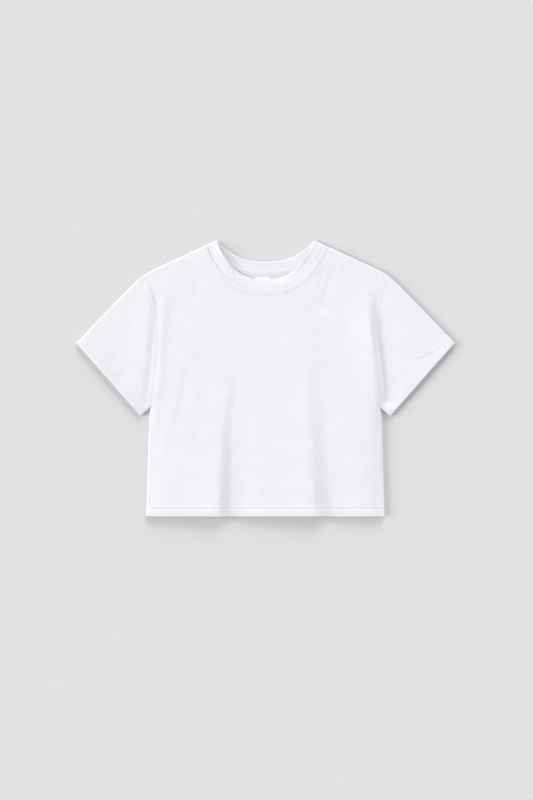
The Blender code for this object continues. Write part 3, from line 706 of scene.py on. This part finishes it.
# ---- Meshes ----
def numbered(*shape):
    """Vertex numbers in a grid of the given shape."""
    return np.arange(math.prod(shape)).reshape(shape)


def quads(numbers, ring=False):
    """Faces between neighbouring rows and columns of vertex numbers."""
    if ring:
        numbers = np.concatenate((numbers, numbers[:, :1]), axis=1)
    corners = (numbers[:-1, :-1], numbers[:-1, 1:], numbers[1:, 1:], numbers[1:, :-1])
    return np.stack([corner.ravel() for corner in corners], axis=1)


def add_object(name, data):
    """A new object in the scene."""
    made = bpy.data.objects.new(name, data)
    bpy.context.scene.collection.objects.link(made)
    return made


def add_piece(name, vertices, faces, material, uv=None):
    """One named piece, its faces pointing out, shaded smooth."""
    mesh = bpy.data.meshes.new(name)
    mesh.from_pydata(vertices.tolist(), [], faces if isinstance(faces, list) else faces.tolist())
    shape = bmesh.new()
    shape.from_mesh(mesh)
    bmesh.ops.recalc_face_normals(shape, faces=shape.faces)
    shape.to_mesh(mesh)
    shape.free()
    mesh.shade_smooth()
    mesh.set_sharp_from_angle(angle=SHARP_ANGLE)
    if uv is not None:
        for label, values in zip(("along", "across"), uv):
            layer = mesh.attributes.new(label, "FLOAT", "POINT")
            layer.data.foreach_set("value", values.astype(np.float32).ravel())
    mesh.materials.append(material)
    return add_object(name, mesh)


def closed_wall(outer, inner, faces):
    """Vertices and faces of a wall: both surfaces, and rims along their open edges."""
    count = len(outer)
    edges = np.concatenate([faces[:, [corner, (corner + 1) % 4]] for corner in range(4)])
    key = edges.min(axis=1) * count + edges.max(axis=1)
    _, place, uses = np.unique(key, return_index=True, return_counts=True)
    rim = edges[place[uses == 1]]
    rim_faces = np.column_stack((rim[:, 1], rim[:, 0], rim[:, 0] + count, rim[:, 1] + count))
    return (np.concatenate((outer, inner)),
            np.concatenate((faces, faces[:, ::-1] + count, rim_faces)))


def add_panel(name, neck, hem_level, side, rim, material):
    """Front or back of the body as one closed wall."""
    (left, left_neck), (right, right_neck) = (panel_half(neck, way, hem_level) for way in (-1, 1))
    grid = mirrored(left, right)
    zone = mirrored(left_neck, right_neck)[1:]
    numbers = numbered(*grid.shape[:2])
    first = left.shape[1] - left_neck.shape[1]
    meeting = numbers[-1, first:first + zone.shape[1]]
    zone_numbers = np.vstack((meeting, numbers.size + numbered(*zone.shape[:2])))
    plan = np.concatenate((grid.reshape(-1, 2), zone.reshape(-1, 2)))
    faces = np.concatenate((quads(numbers), quads(zone_numbers)))
    fold = plan[:, 1] - hem_level
    outer, inner = cloth_layers(plan, fold, neck, side, rim)
    vertices, faces = closed_wall(outer, inner, faces)
    return add_piece(name, vertices, faces, material)


def cuff_distance(x, y):
    """Distance from the fold of the cuff."""
    across, up = CUFF_INWARDS
    return (np.abs(x) - CUFF_EDGE[0, 0]) * across + (y - CUFF_EDGE[0, 1]) * up


def add_sleeve(name, sign, material):
    """A sleeve as a flattened tube; sign is +1 on the wearer's left."""
    plan = sleeve_grid() * np.array((sign, 1.0))
    fold = np.maximum(cuff_distance(plan[..., 0], plan[..., 1]), 0.0)
    upper, lower = (cloth_layers(plan, fold, None, side, EDGE_HALF) for side in (1, -1))
    off_the_roll = edge_distance(plan[..., 0], plan[..., 1])[0] > EDGE_HALF
    pressed = np.maximum(PRESSED_GAP - upper[1][..., 2] + lower[1][..., 2], 0.0) * off_the_roll
    upper[1][..., 2] += pressed / 2
    lower[1][..., 2] -= pressed / 2
    outer, inner = (np.concatenate((top, bottom[:, -2:0:-1]), axis=1)
                    for top, bottom in zip(upper, lower))
    faces = quads(numbered(*outer.shape[:2]), True)
    vertices, faces = closed_wall(outer.reshape(-1, 3), inner.reshape(-1, 3), faces)
    return add_piece(name, vertices, faces, material)


# ---- Neckband ----
def rib_section():
    """The folded rib's cross-section: shares of the band's width from the free edge, depth
    below its outer face, and 1 on the faces that have ribs."""
    half = RIB_WALL / 2
    angles = np.linspace(0.0, math.pi, RIB_FOLD_POINTS)
    flat = spaced(RIB_WIDTH, RIB_FOLD, RIB_CELL)
    outside = [(width, 0.0) for width in flat[:-1]]
    outside += [(RIB_FOLD * (1 - math.sin(angle)), half * (1 - math.cos(angle)))
                for angle in angles]
    outside += [(width, RIB_WALL) for width in flat[-2::-1]]
    hollow = half - RIB_CLOTH
    inside = [(RIB_WIDTH, half + hollow), (half, half + hollow), (half - hollow, half),
              (half, half - hollow), (RIB_WIDTH, half - hollow)]
    corners = np.array(outside + inside)
    ribbed = np.concatenate((np.ones(len(outside)), np.zeros(len(inside))))
    return corners[:, 0] / RIB_WIDTH, corners[:, 1], ribbed


def free_edge_lift(share, across):
    """The front's free edge stands up beside the shoulders and is pressed down in the middle."""
    middle, reach = FREE_EDGE_LEFT_LIFTED
    standing = FREE_EDGE_LIFT * stretch(share, *FREE_EDGE_LIFTED)
    standing = standing + FREE_EDGE_LEFT_LIFT * bell(share - middle, reach)
    pressed = FREE_EDGE_SINK * stretch(share, *FREE_EDGE_SUNK)
    tucks = [bell(share - middle, reach) for middle, reach in FREE_EDGE_TUCKED]
    pressed = pressed + FREE_EDGE_TUCK * (tucks[0] + tucks[1])
    return standing * (1 - across) ** 3 - pressed * (1 - across) ** 2


def rolled_plan(share, neck, outer, distance):
    """Plan of a layer whose inner points keep their depth from the outer ones in the roll."""
    across, depth, _ = rib_section()
    plan = outer.copy()
    level, _ = roll(distance)
    for corner, (line, deep) in enumerate(zip(across, depth)):
        for way in (-1, 1):
            here = (level[:, corner] > 0) & (share * way > 0)
            if deep > 0 and here.any():
                wanted = distance[here, corner] + deep * level[here, corner]
                moved = neck_shares_at(wanted, line, neck, way)
                plan[here, corner] = neck_point(moved, line, neck)
    return plan


def neckband_layer(share, neck, layer):
    """Points of the neckband at given shares, in front (+1) or behind (-1)."""
    across, depth, _ = rib_section()
    share_grid, across_grid = np.meshgrid(share, across, indexing="ij")
    outer = neck_point(share_grid, across_grid, neck)
    x, y = outer[..., 0], outer[..., 1]
    distance = edge_distance(x, y)[0]
    _, upright = roll(distance)
    far = 0.0
    if layer > 0:
        sink = SEAM_DIP * bell((1 - across_grid) * RIB_WIDTH, SEAM_DIP_REACH)
        far = front_height(x, y) - sink + free_edge_lift(share_grid, across_grid)
    height = EDGE_HALF + (far - EDGE_HALF) * upright - layer * depth * upright
    plan = rolled_plan(share, neck, outer, distance)
    return np.concatenate((plan, height[..., None]), axis=-1)


def neckband_shares():
    """Shares of even steps round the whole neckband: in front from left to right, then behind."""
    fine = shares_round_neck(NECK_SAMPLES * 2)
    paths = []
    for neck, layer, order in ((FRONT_NECK, 1, 1), (BACK_NECK, -1, -1)):
        plan = neck_point(fine, 0.5, neck)
        _, upright = roll(edge_distance(plan[:, 0], plan[:, 1])[0])
        height = EDGE_HALF * (1 + layer * upright)
        paths.append(np.column_stack((plan, height))[::order])
    lengths = [arc_length(path) for path in paths]
    total = lengths[0][-1] + lengths[1][-1]
    ribs = round(total / RIB_PITCH)
    steps = np.arange(ribs * RIB_SECTIONS) * total / (ribs * RIB_SECTIONS)
    front = np.interp(steps[steps < lengths[0][-1]], lengths[0], fine)
    back = -np.interp(steps[steps >= lengths[0][-1]] - lengths[0][-1], lengths[1], fine)
    return front, back, steps, total


def add_neckband(material):
    """Ring of 1x1 rib, folded double, turned over at both shoulders, with its ribs raised."""
    front, back, steps, total = neckband_shares()
    across, _, ribbed = rib_section()
    sections = np.concatenate((neckband_layer(front, FRONT_NECK, 1),
                               neckband_layer(back, BACK_NECK, -1)))
    ahead, around = (np.roll(sections, -1, axis=axis) - np.roll(sections, 1, axis=axis)
                     for axis in (0, 1))
    normal = np.cross(ahead, around)
    normal /= np.linalg.norm(normal, axis=-1, keepdims=True)
    ribs = round(total / RIB_PITCH)
    ridge = RIB_RELIEF * (np.cos(steps / total * ribs * 2 * math.pi) - 1)
    near_seam = smooth((1 - across) * RIB_WIDTH / RIB_FADE)
    sections += normal * ridge[:, None, None] * (ribbed * near_seam)[None, :, None]
    count, corners = sections.shape[:2]
    numbers = numbered(count, corners)
    numbers = np.concatenate((numbers, numbers[:1]))
    uv = (np.repeat(steps, corners), np.tile(across * RIB_WIDTH, count))
    return add_piece("neckband_rib", sections.reshape(-1, 3), quads(numbers, True), material, uv)


# ---- Label ----
def add_label(material):
    """Blank woven tape, folded double, lying on the inside of the back below the neck seam."""
    columns = spaced(-LABEL_WIDTH / 2, LABEL_WIDTH / 2, LABEL_CELL)
    rows = spaced(0.0, LABEL_LENGTH, LABEL_CELL)
    x, down = np.meshgrid(columns, rows, indexing="ij")
    from_side = LABEL_WIDTH / 2 - np.abs(x)
    fold = np.clip((LABEL_LENGTH - down) / LABEL_FOLD_RADIUS, 0.0, 1.0)
    side = np.clip(from_side / LABEL_EDGE_RADIUS, 0.0, 1.0)
    half = LABEL_THICKNESS / 2 * round_share(fold, LABEL_BLUNTNESS)
    half = half * round_share(side, LABEL_BLUNTNESS)
    middle = WALL + SEAM_GAP + ALLOWANCE_RISE * LABEL_BED + LABEL_THICKNESS / 2
    curl = LABEL_CURL * (x / (LABEL_WIDTH / 2)) ** 2 * smooth(down / LABEL_LENGTH)
    top = middle + half + curl + SELVEDGE_RISE * bell(from_side, SELVEDGE_WIDTH)
    bottom = middle - half + curl
    plan_y = NECK_LEVEL - LABEL_TOP - down
    outer, inner = (np.stack((x + LABEL_SHIFT, plan_y, z), axis=-1).reshape(-1, 3)
                    for z in (top, bottom))
    vertices, faces = closed_wall(outer, inner, quads(numbered(*x.shape)))
    return add_piece("label_tape", vertices, faces, material)


# ---- Stitches ----
def stitch_mesh(starts, ends, lift_from):
    """Vertices and faces of stitches between plan points, on a surface given by a function."""
    angles = np.arange(STITCH_SIDES) * 2 * math.pi / STITCH_SIDES
    vertices = []
    run = ends - starts
    length = np.linalg.norm(run, axis=1, keepdims=True)
    across = np.column_stack((-run[:, 1], run[:, 0])) / length
    for share, lift, thick in STITCH_RINGS:
        centre = starts + run * share
        point, normal = lift_from(centre[:, 0], centre[:, 1])
        sideways = np.column_stack((across, np.zeros(len(across))))
        sideways -= normal * (sideways * normal).sum(axis=1, keepdims=True)
        sideways /= np.linalg.norm(sideways, axis=1, keepdims=True)
        middle = point + normal * (STITCH_RADIUS * lift - STITCH_SINK)
        ring = [middle + STITCH_RADIUS * thick * (sideways * math.cos(angle)
                                                  + normal * math.sin(angle))
                for angle in angles]
        vertices.append(np.stack(ring, axis=1))
    vertices = np.stack(vertices, axis=1)
    faces = []
    for stitch in numbered(*vertices.shape[:3]):
        faces += quads(stitch, True).tolist()
        faces += [stitch[0][::-1].tolist(), stitch[-1].tolist()]
    return vertices.reshape(-1, 3), faces


def stitch_ends(path):
    """Starts and ends of the stitches along a plan path."""
    total = arc_length(path)[-1]
    marks = np.linspace(0.0, total, round(total / STITCH_PITCH) + 1)
    points = at_distances(path, marks)
    return points[:-1], points[1:]


def add_stitches(name, rows, material):
    """Rows of stitches joined in one piece; a row is its path and the surface it lies on."""
    vertices, faces, count = [], [], 0
    for path, lift_from in rows:
        new_vertices, new_faces = stitch_mesh(*stitch_ends(path), lift_from)
        vertices.append(new_vertices)
        faces += [[number + count for number in face] for face in new_faces]
        count += len(new_vertices)
    return add_piece(name, np.concatenate(vertices), faces, material)


def stitch_bed(from_fold, neck, side, rim):
    """Function that gives the outer points and normals on which stitches of a piece lie."""
    def lift_from(x, y):
        relief = seam_relief(x, y, from_fold(x, y), neck, side)
        return surface(x, y, relief if side > 0 else relief - STITCH_SHELTER, side, rim)
    return lift_from


def inside_of_back(x, y):
    """Upper side of the back panel, seen through the neck."""
    outer = np.stack((x, y, np.full(x.shape, WALL) + back_allowance(x, y)), axis=-1)
    return outer, np.broadcast_to((0.0, 0.0, 1.0), outer.shape)


def hem_path(hem_level, row):
    """Plan path of a row of stitches above the hem."""
    level = hem_level + row
    reach = half_width(level) - EDGE_HALF * HEM_ROW_END
    return np.array(((-reach, level), (reach, level)))


def cuff_path(sign, row):
    """Plan path of a row of stitches beside the cuff's fold."""
    clear = CUFF_RUN * EDGE_HALF * CUFF_ROW_END
    ends = CUFF_EDGE + CUFF_INWARDS * row + np.array((clear, -clear))
    return ends * np.array((sign, 1.0))


def neck_path(neck, row, reach=NECK_ROW_REACH):
    """Plan path of a row of stitches below the neckband."""
    return neck_point(shares_round_neck(NECK_ROW_POINTS) * reach, 1 + row / RIB_WIDTH, neck)


def panel_stitches(name, panel, material, inside=()):
    """The rows along hem and neckline of a body panel, and others on its inside."""
    neck, hem_level, side, rim = panel
    bed = stitch_bed(lambda _, y: y - hem_level, neck, side, rim)
    rows = [(hem_path(hem_level, row), bed) for row in HEM_STITCH_ROWS]
    rows += [(neck_path(neck, row), bed) for row in NECK_STITCH_ROWS]
    return add_stitches(name, [*rows, *inside], material)


def cuff_stitches(name, sign, material):
    """The rows round a cuff, on its upper and lower layers."""
    rows = [(cuff_path(sign, row), stitch_bed(cuff_distance, None, side, EDGE_HALF))
            for row in HEM_STITCH_ROWS for side in (1, -1)]
    return add_stitches(name, rows, material)


# ---- Materials ----
CLOTH_COLOUR = (0.765, 0.758, 0.796)
# painted shade: the colour towards which the hollows of the knit, the thread's twist and the label's
# weave are darkened
CREVICE_SHADE_COLOUR = (0.660, 0.654, 0.700)
# lighter than the body's cloth to offset the shade of its own ribs: painted light
RIB_COLOUR = (0.798, 0.791, 0.832)
# painted shade in the hollows of the rib's knit
RIB_CREVICE_SHADE_COLOUR = (0.715, 0.709, 0.752)
THREAD_COLOUR = (0.860, 0.855, 0.885)
LABEL_COLOUR = (0.815, 0.815, 0.830)
FLOOR_COLOUR = (0.620, 0.620, 0.620)
FLOOR_TINTS = (0.985, 1.01)
WALE = 0.00085  # width of a column of knit stitches
COURSE = 0.00068  # height of a row of knit stitches
KNIT_SLANT = 1.5  # how steeply a stitch's legs rise
KNIT_LOOPS = 0.30  # how much the ends of the stitches stand out from the columns
WANDER = 1.6  # how far the columns wander, in stitches
YARN_RELIEF = 0.30  # unevenness of the yarn, as a share of the knit's relief
CLOUD_RELIEF = 0.5
CLOUD_SHARE = 0.38  # soft patches in which the jersey is a little lighter
CLOUD_TINT = 1.05
JERSEY_SHADE = (0.80, 0.35)  # how much the knit's raised loops lighten the colour from the painted shade of its hollows, and how much the yarn varies the tone at random
RIB_SHADE = (0.75, 0.40)
TWIST = 0.00022  # pitch of the thread's twist
TWIST_DEGREES = 32
TWIST_SHADE = (0.12, 0.86)  # painted shade in the twist's grooves: how much the colour darkens with the relief, and its middle
WEFT = 0.00025  # pitches of the label's weave
WARP = 0.00018
WEAVE_RELIEF = (0.6, 0.3)  # of the weft and the warp
# painted shade between the weave's lines: how much the colour darkens with the relief, and its middle
WEAVE_SHADE = (0.06, 0.92)
WANDER_NOISE = {"scale": 30.0, "detail": 2.0}
CLOUD_NOISE = {"scale": 45.0, "detail": 3.0}
YARN_NOISE = {"scale": 900.0, "detail": 3.0}
FLOOR_NOISE = {"scale": 12.0, "detail": 4.0}
COTTON = {"roughness": 0.92, "sheen": 0.12, "specular": 0.25}
SHEEN_ROUGHNESS = 0.5


class Value:
    """A value that shader nodes work out at each point; arithmetic on it adds nodes."""

    def __init__(self, graph, socket):
        self.graph = graph
        self.socket = socket

    def apply(self, operation, other=0.0):
        """Result of an operation on this value, or on this and another."""
        return self.graph.node("ShaderNodeMath", {0: self, 1: other}, operation=operation)

    __add__ = partialmethod(apply, "ADD")
    __sub__ = partialmethod(apply, "SUBTRACT")
    __mul__ = partialmethod(apply, "MULTIPLY")
    __truediv__ = partialmethod(apply, "DIVIDE")

    def wave(self, length=1.0):
        """Sine of this value, one wave in the given length."""
        return (self * (2 * math.pi / length)).apply("SINE")


class Graph:
    """Short forms for building a material's nodes."""

    def __init__(self, name):
        self.material = bpy.data.materials.new(name)
        self.material.use_nodes = True
        self.tree = self.material.node_tree
        self.place = self.node("ShaderNodeTexCoord", {}, "Object")

    def put(self, node, inputs):
        """Links or sets inputs of a node."""
        for name, value in inputs.items():
            socket = node.inputs[name]
            if isinstance(value, Value):
                self.tree.links.new(value.socket, socket)
            else:
                socket.default_value = (*value, 1.0) if isinstance(value, tuple) else value

    def node(self, kind, inputs, output=0, **settings):
        """The value that a new node gives at one of its outputs."""
        made = self.tree.nodes.new(kind)
        for name, value in settings.items():
            setattr(made, name, value)
        self.put(made, inputs)
        return Value(self, made.outputs[output])

    def across_and_up(self, degrees):
        """X and Y of the place on the object, turned about Z."""
        inputs = {"Vector": self.place, "Angle": math.radians(degrees)}
        place = self.node("ShaderNodeVectorRotate", inputs, rotation_type="Z_AXIS")
        across = self.node("ShaderNodeSeparateXYZ", {0: place})
        return across, Value(self, across.socket.node.outputs[1])

    def noise(self, scale, detail):
        inputs = {"Vector": self.place, "Scale": scale, "Detail": detail}
        return self.node("ShaderNodeTexNoise", inputs, "Fac")

    def mix(self, share, first, second):
        inputs = {"Factor": share, "A": first, "B": second}
        return self.node("ShaderNodeMix", inputs, "Result", data_type="RGBA")

    def bump(self, height, distance, strength):
        inputs = {"Height": height, "Distance": distance, "Strength": strength}
        return {"Normal": self.node("ShaderNodeBump", inputs, "Normal")}

    def finish(self, colour, relief, roughness, sheen, specular):
        """The material, with its colour, relief and gloss set."""
        shader = self.tree.nodes["Principled BSDF"]
        self.put(shader, {"Base Color": colour, "Roughness": roughness, "Sheen Weight": sheen,
                          "Sheen Roughness": SHEEN_ROUGHNESS, "Specular IOR Level": specular,
                          **relief})
        return self.material


def tinted(colour, share):
    """A colour made lighter or darker."""
    return tuple(channel * share for channel in colour)


def knit_pattern(u, v):
    """Height of plain knit, whose columns are rows of V shapes, from places in stitches."""
    apart = (u.apply("FRACT") - 0.5).apply("ABSOLUTE")
    loops = (v + apart * KNIT_SLANT).wave() * KNIT_LOOPS + (1 - KNIT_LOOPS)
    return apart.wave() * loops


def jersey(name, degrees):
    """White single jersey whose columns run at an angle to +Y."""
    graph = Graph(name)
    across, up = graph.across_and_up(degrees)
    wander = graph.noise(**WANDER_NOISE) * WANDER
    knit = knit_pattern(across / WALE + wander, up / COURSE)
    yarn = graph.noise(**YARN_NOISE)
    cloud = graph.noise(**CLOUD_NOISE)
    # painted shade in the knit's hollows, and tone that varies at random with the yarn
    shade = knit * JERSEY_SHADE[0] + yarn * JERSEY_SHADE[1]
    base = graph.mix(shade, CREVICE_SHADE_COLOUR, CLOTH_COLOUR)
    colour = graph.mix(cloud * CLOUD_SHARE, base, tinted(CLOTH_COLOUR, CLOUD_TINT))
    height = knit + yarn * YARN_RELIEF + cloud * CLOUD_RELIEF
    return graph.finish(colour, graph.bump(height, distance=0.00014, strength=0.8), **COTTON)


def rib(name):
    """White 1x1 rib: its columns run across the band, with knit loops along each."""
    graph = Graph(name)
    along, across = (graph.node("ShaderNodeAttribute", {}, "Fac", attribute_name=label)
                     for label in ("along", "across"))
    knit = knit_pattern(along / (RIB_PITCH / 2), across / COURSE)
    yarn = graph.noise(**YARN_NOISE)
    # painted shade in the rib's hollows, and tone that varies at random with the yarn
    shade = knit * RIB_SHADE[0] + yarn * RIB_SHADE[1]
    relief = graph.bump(knit + yarn * YARN_RELIEF, distance=0.00012, strength=0.8)
    return graph.finish(graph.mix(shade, RIB_CREVICE_SHADE_COLOUR, RIB_COLOUR), relief, **COTTON)


def thread(name):
    """Spun polyester thread, twisted, a little brighter and smoother than the cloth."""
    graph = Graph(name)
    twist = graph.across_and_up(TWIST_DEGREES)[0].wave(TWIST)
    # painted shade in the grooves of the twist
    shade = twist * TWIST_SHADE[0] + TWIST_SHADE[1]
    colour = graph.mix(shade, CREVICE_SHADE_COLOUR, THREAD_COLOUR)
    relief = graph.bump(twist, distance=0.00003, strength=0.6)
    return graph.finish(colour, relief, roughness=0.60, sheen=0.05, specular=0.4)


def satin(name):
    """Bright woven tape of the blank label: fine weft lines, smoother than the cloth."""
    graph = Graph(name)
    across, up = graph.across_and_up(0.0)
    weave = up.wave(WEFT) * WEAVE_RELIEF[0] + across.wave(WARP) * WEAVE_RELIEF[1]
    # painted shade between the lines of the weave
    shade = weave * WEAVE_SHADE[0] + WEAVE_SHADE[1]
    colour = graph.mix(shade, CREVICE_SHADE_COLOUR, LABEL_COLOUR)
    relief = graph.bump(weave, distance=0.00002, strength=0.5)
    return graph.finish(colour, relief, roughness=0.45, sheen=0.05, specular=0.5)


def floor_paint(name):
    """Even pale grey sweep with the faintest grain."""
    graph = Graph(name)
    darker, lighter = (tinted(FLOOR_COLOUR, share) for share in FLOOR_TINTS)
    colour = graph.mix(graph.noise(**FLOOR_NOISE), darker, lighter)
    return graph.finish(colour, {}, roughness=0.95, sheen=0.0, specular=0.1)


# ---- Build the garment ----
# Neckline, level of the hem's fold, side (+1 is the front) and height of the roll's middle.
FRONT = (FRONT_NECK, -NECK_LEVEL, 1, EDGE_HALF + SEAM_GAP / 2)
BACK = (BACK_NECK, -NECK_LEVEL + BACK_HEM_RISE, -1, EDGE_HALF - SEAM_GAP / 2)
SLEEVE_TURN = math.degrees(math.atan2(CUFF_EDGE[0, 0] - CUFF_EDGE[1, 0],
                                      CUFF_EDGE[0, 1] - CUFF_EDGE[1, 1]))

body_jersey = jersey("body_jersey", 0.0)
left_jersey = jersey("left_sleeve_jersey", SLEEVE_TURN - 90)
right_jersey = jersey("right_sleeve_jersey", 90 - SLEEVE_TURN)
sewing_thread = thread("sewing_thread")

front = add_panel("front_cloth", *FRONT, body_jersey)
back = add_panel("back_cloth", *BACK, body_jersey)
sleeve_left = add_sleeve("sleeve_left_cloth", 1.0, left_jersey)
sleeve_right = add_sleeve("sleeve_right_cloth", -1.0, right_jersey)
neckband = add_neckband(rib("rib_knit"))
label = add_label(satin("label_satin"))

tape_rows = [(neck_path(BACK_NECK, row, TAPE_ROW_REACH), inside_of_back)
             for row in TAPE_STITCH_ROWS]
front_stitches = panel_stitches("front_stitches", FRONT, sewing_thread)
back_stitches = panel_stitches("back_stitches", BACK, sewing_thread, tape_rows)
left_stitches = cuff_stitches("left_cuff_stitches", 1.0, sewing_thread)
right_stitches = cuff_stitches("right_cuff_stitches", -1.0, sewing_thread)

# ---- Floor, light and camera ----
FLOOR_SIZE = 14.0
FLOOR_DROP = 0.0002  # keeps it off the cloth that lies on it
PIXEL = 0.00185  # of the image, at the garment
IMAGE_HEIGHT = 800
CAMERA_LENS = 100.0
CAMERA_SENSOR = 36.0
CAMERA_PLACE = (0.0017, -0.0398)
CAMERA_REACH = 60.0
# Soft lights from far away: degrees from +Y towards +X, degrees up, strength, degrees across.
SUNS = {
    # name: azimuth, elevation, strength, width
    "from_the_top": (10, 16.5, 2.85, 24),
    "from_the_left": (268, 16, 3.35, 24),
    "from_the_right": (75, 20, 0.42, 30),
    "from_the_hem": (180, 25, 0.46, 34),
}
SKY_ZENITH = 0.510
SKY_HORIZON = 0.86
SKY_RAMP = 0.7  # height of the way up where the sky is as dark as at its zenith


def add_sun(name, azimuth, elevation, strength, angle):
    """A soft light from far away."""
    light = bpy.data.lights.new(name, "SUN")
    light.energy = strength
    light.angle = math.radians(angle)
    lamp = add_object(name, light)
    lamp.rotation_euler = (math.radians(90 - elevation), 0.0, math.radians(180 - azimuth))


def add_floor():
    """Large plain floor under the garment."""
    half = FLOOR_SIZE / 2
    mesh = bpy.data.meshes.new("floor")
    corners = [(-half, -half, 0), (half, -half, 0), (half, half, 0), (-half, half, 0)]
    mesh.from_pydata(corners, [], [(0, 1, 2, 3)])
    mesh.materials.append(floor_paint("floor_paint"))
    floor = add_object("floor", mesh)
    floor.location.z = -FLOOR_DROP


def add_sky():
    """Even studio light that is brighter towards the horizon."""
    world = bpy.data.worlds.new("studio")
    world.use_nodes = True
    bpy.context.scene.world = world
    tree = world.node_tree
    background = tree.nodes["Background"]
    place, parts, ramp = (tree.nodes.new(kind) for kind in (
        "ShaderNodeTexCoord", "ShaderNodeSeparateXYZ", "ShaderNodeMapRange"))
    for name, value in (("From Min", 0.0), ("From Max", SKY_RAMP),
                        ("To Min", SKY_HORIZON), ("To Max", SKY_ZENITH)):
        ramp.inputs[name].default_value = value
    tree.links.new(place.outputs["Generated"], parts.inputs[0])
    tree.links.new(parts.outputs[2], ramp.inputs["Value"])
    tree.links.new(ramp.outputs[0], background.inputs["Strength"])
    background.inputs["Color"].default_value = (1.0, 1.0, 1.0, 1.0)


def add_camera():
    """Camera straight above the garment, its image's top towards the neck."""
    camera = bpy.data.cameras.new("camera")
    camera.lens = CAMERA_LENS
    camera.sensor_width = CAMERA_SENSOR
    camera.clip_end = CAMERA_REACH
    view = add_object("camera", camera)
    view.location = (*CAMERA_PLACE, PIXEL * IMAGE_HEIGHT * CAMERA_LENS / CAMERA_SENSOR)
    bpy.context.scene.camera = view


add_floor()
add_sky()
for sun, settings in SUNS.items():
    add_sun(sun, *settings)
add_camera()
bpy.context.scene.view_settings.view_transform = "Standard"

# ---- Which node each piece stands for ----
for piece, node, slot in ((front, "front_panel", "jersey"), (back, "back_panel", "jersey"),
                          (sleeve_left, "sleeve_left", "jersey"),
                          (sleeve_right, "sleeve_right", "jersey"),
                          (neckband, "neckband", "rib"), (label, "neck_label", "label")):
    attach(piece, "root")
    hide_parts(node)
for piece in (front_stitches, back_stitches, left_stitches, right_stitches):
    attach(piece, "root")
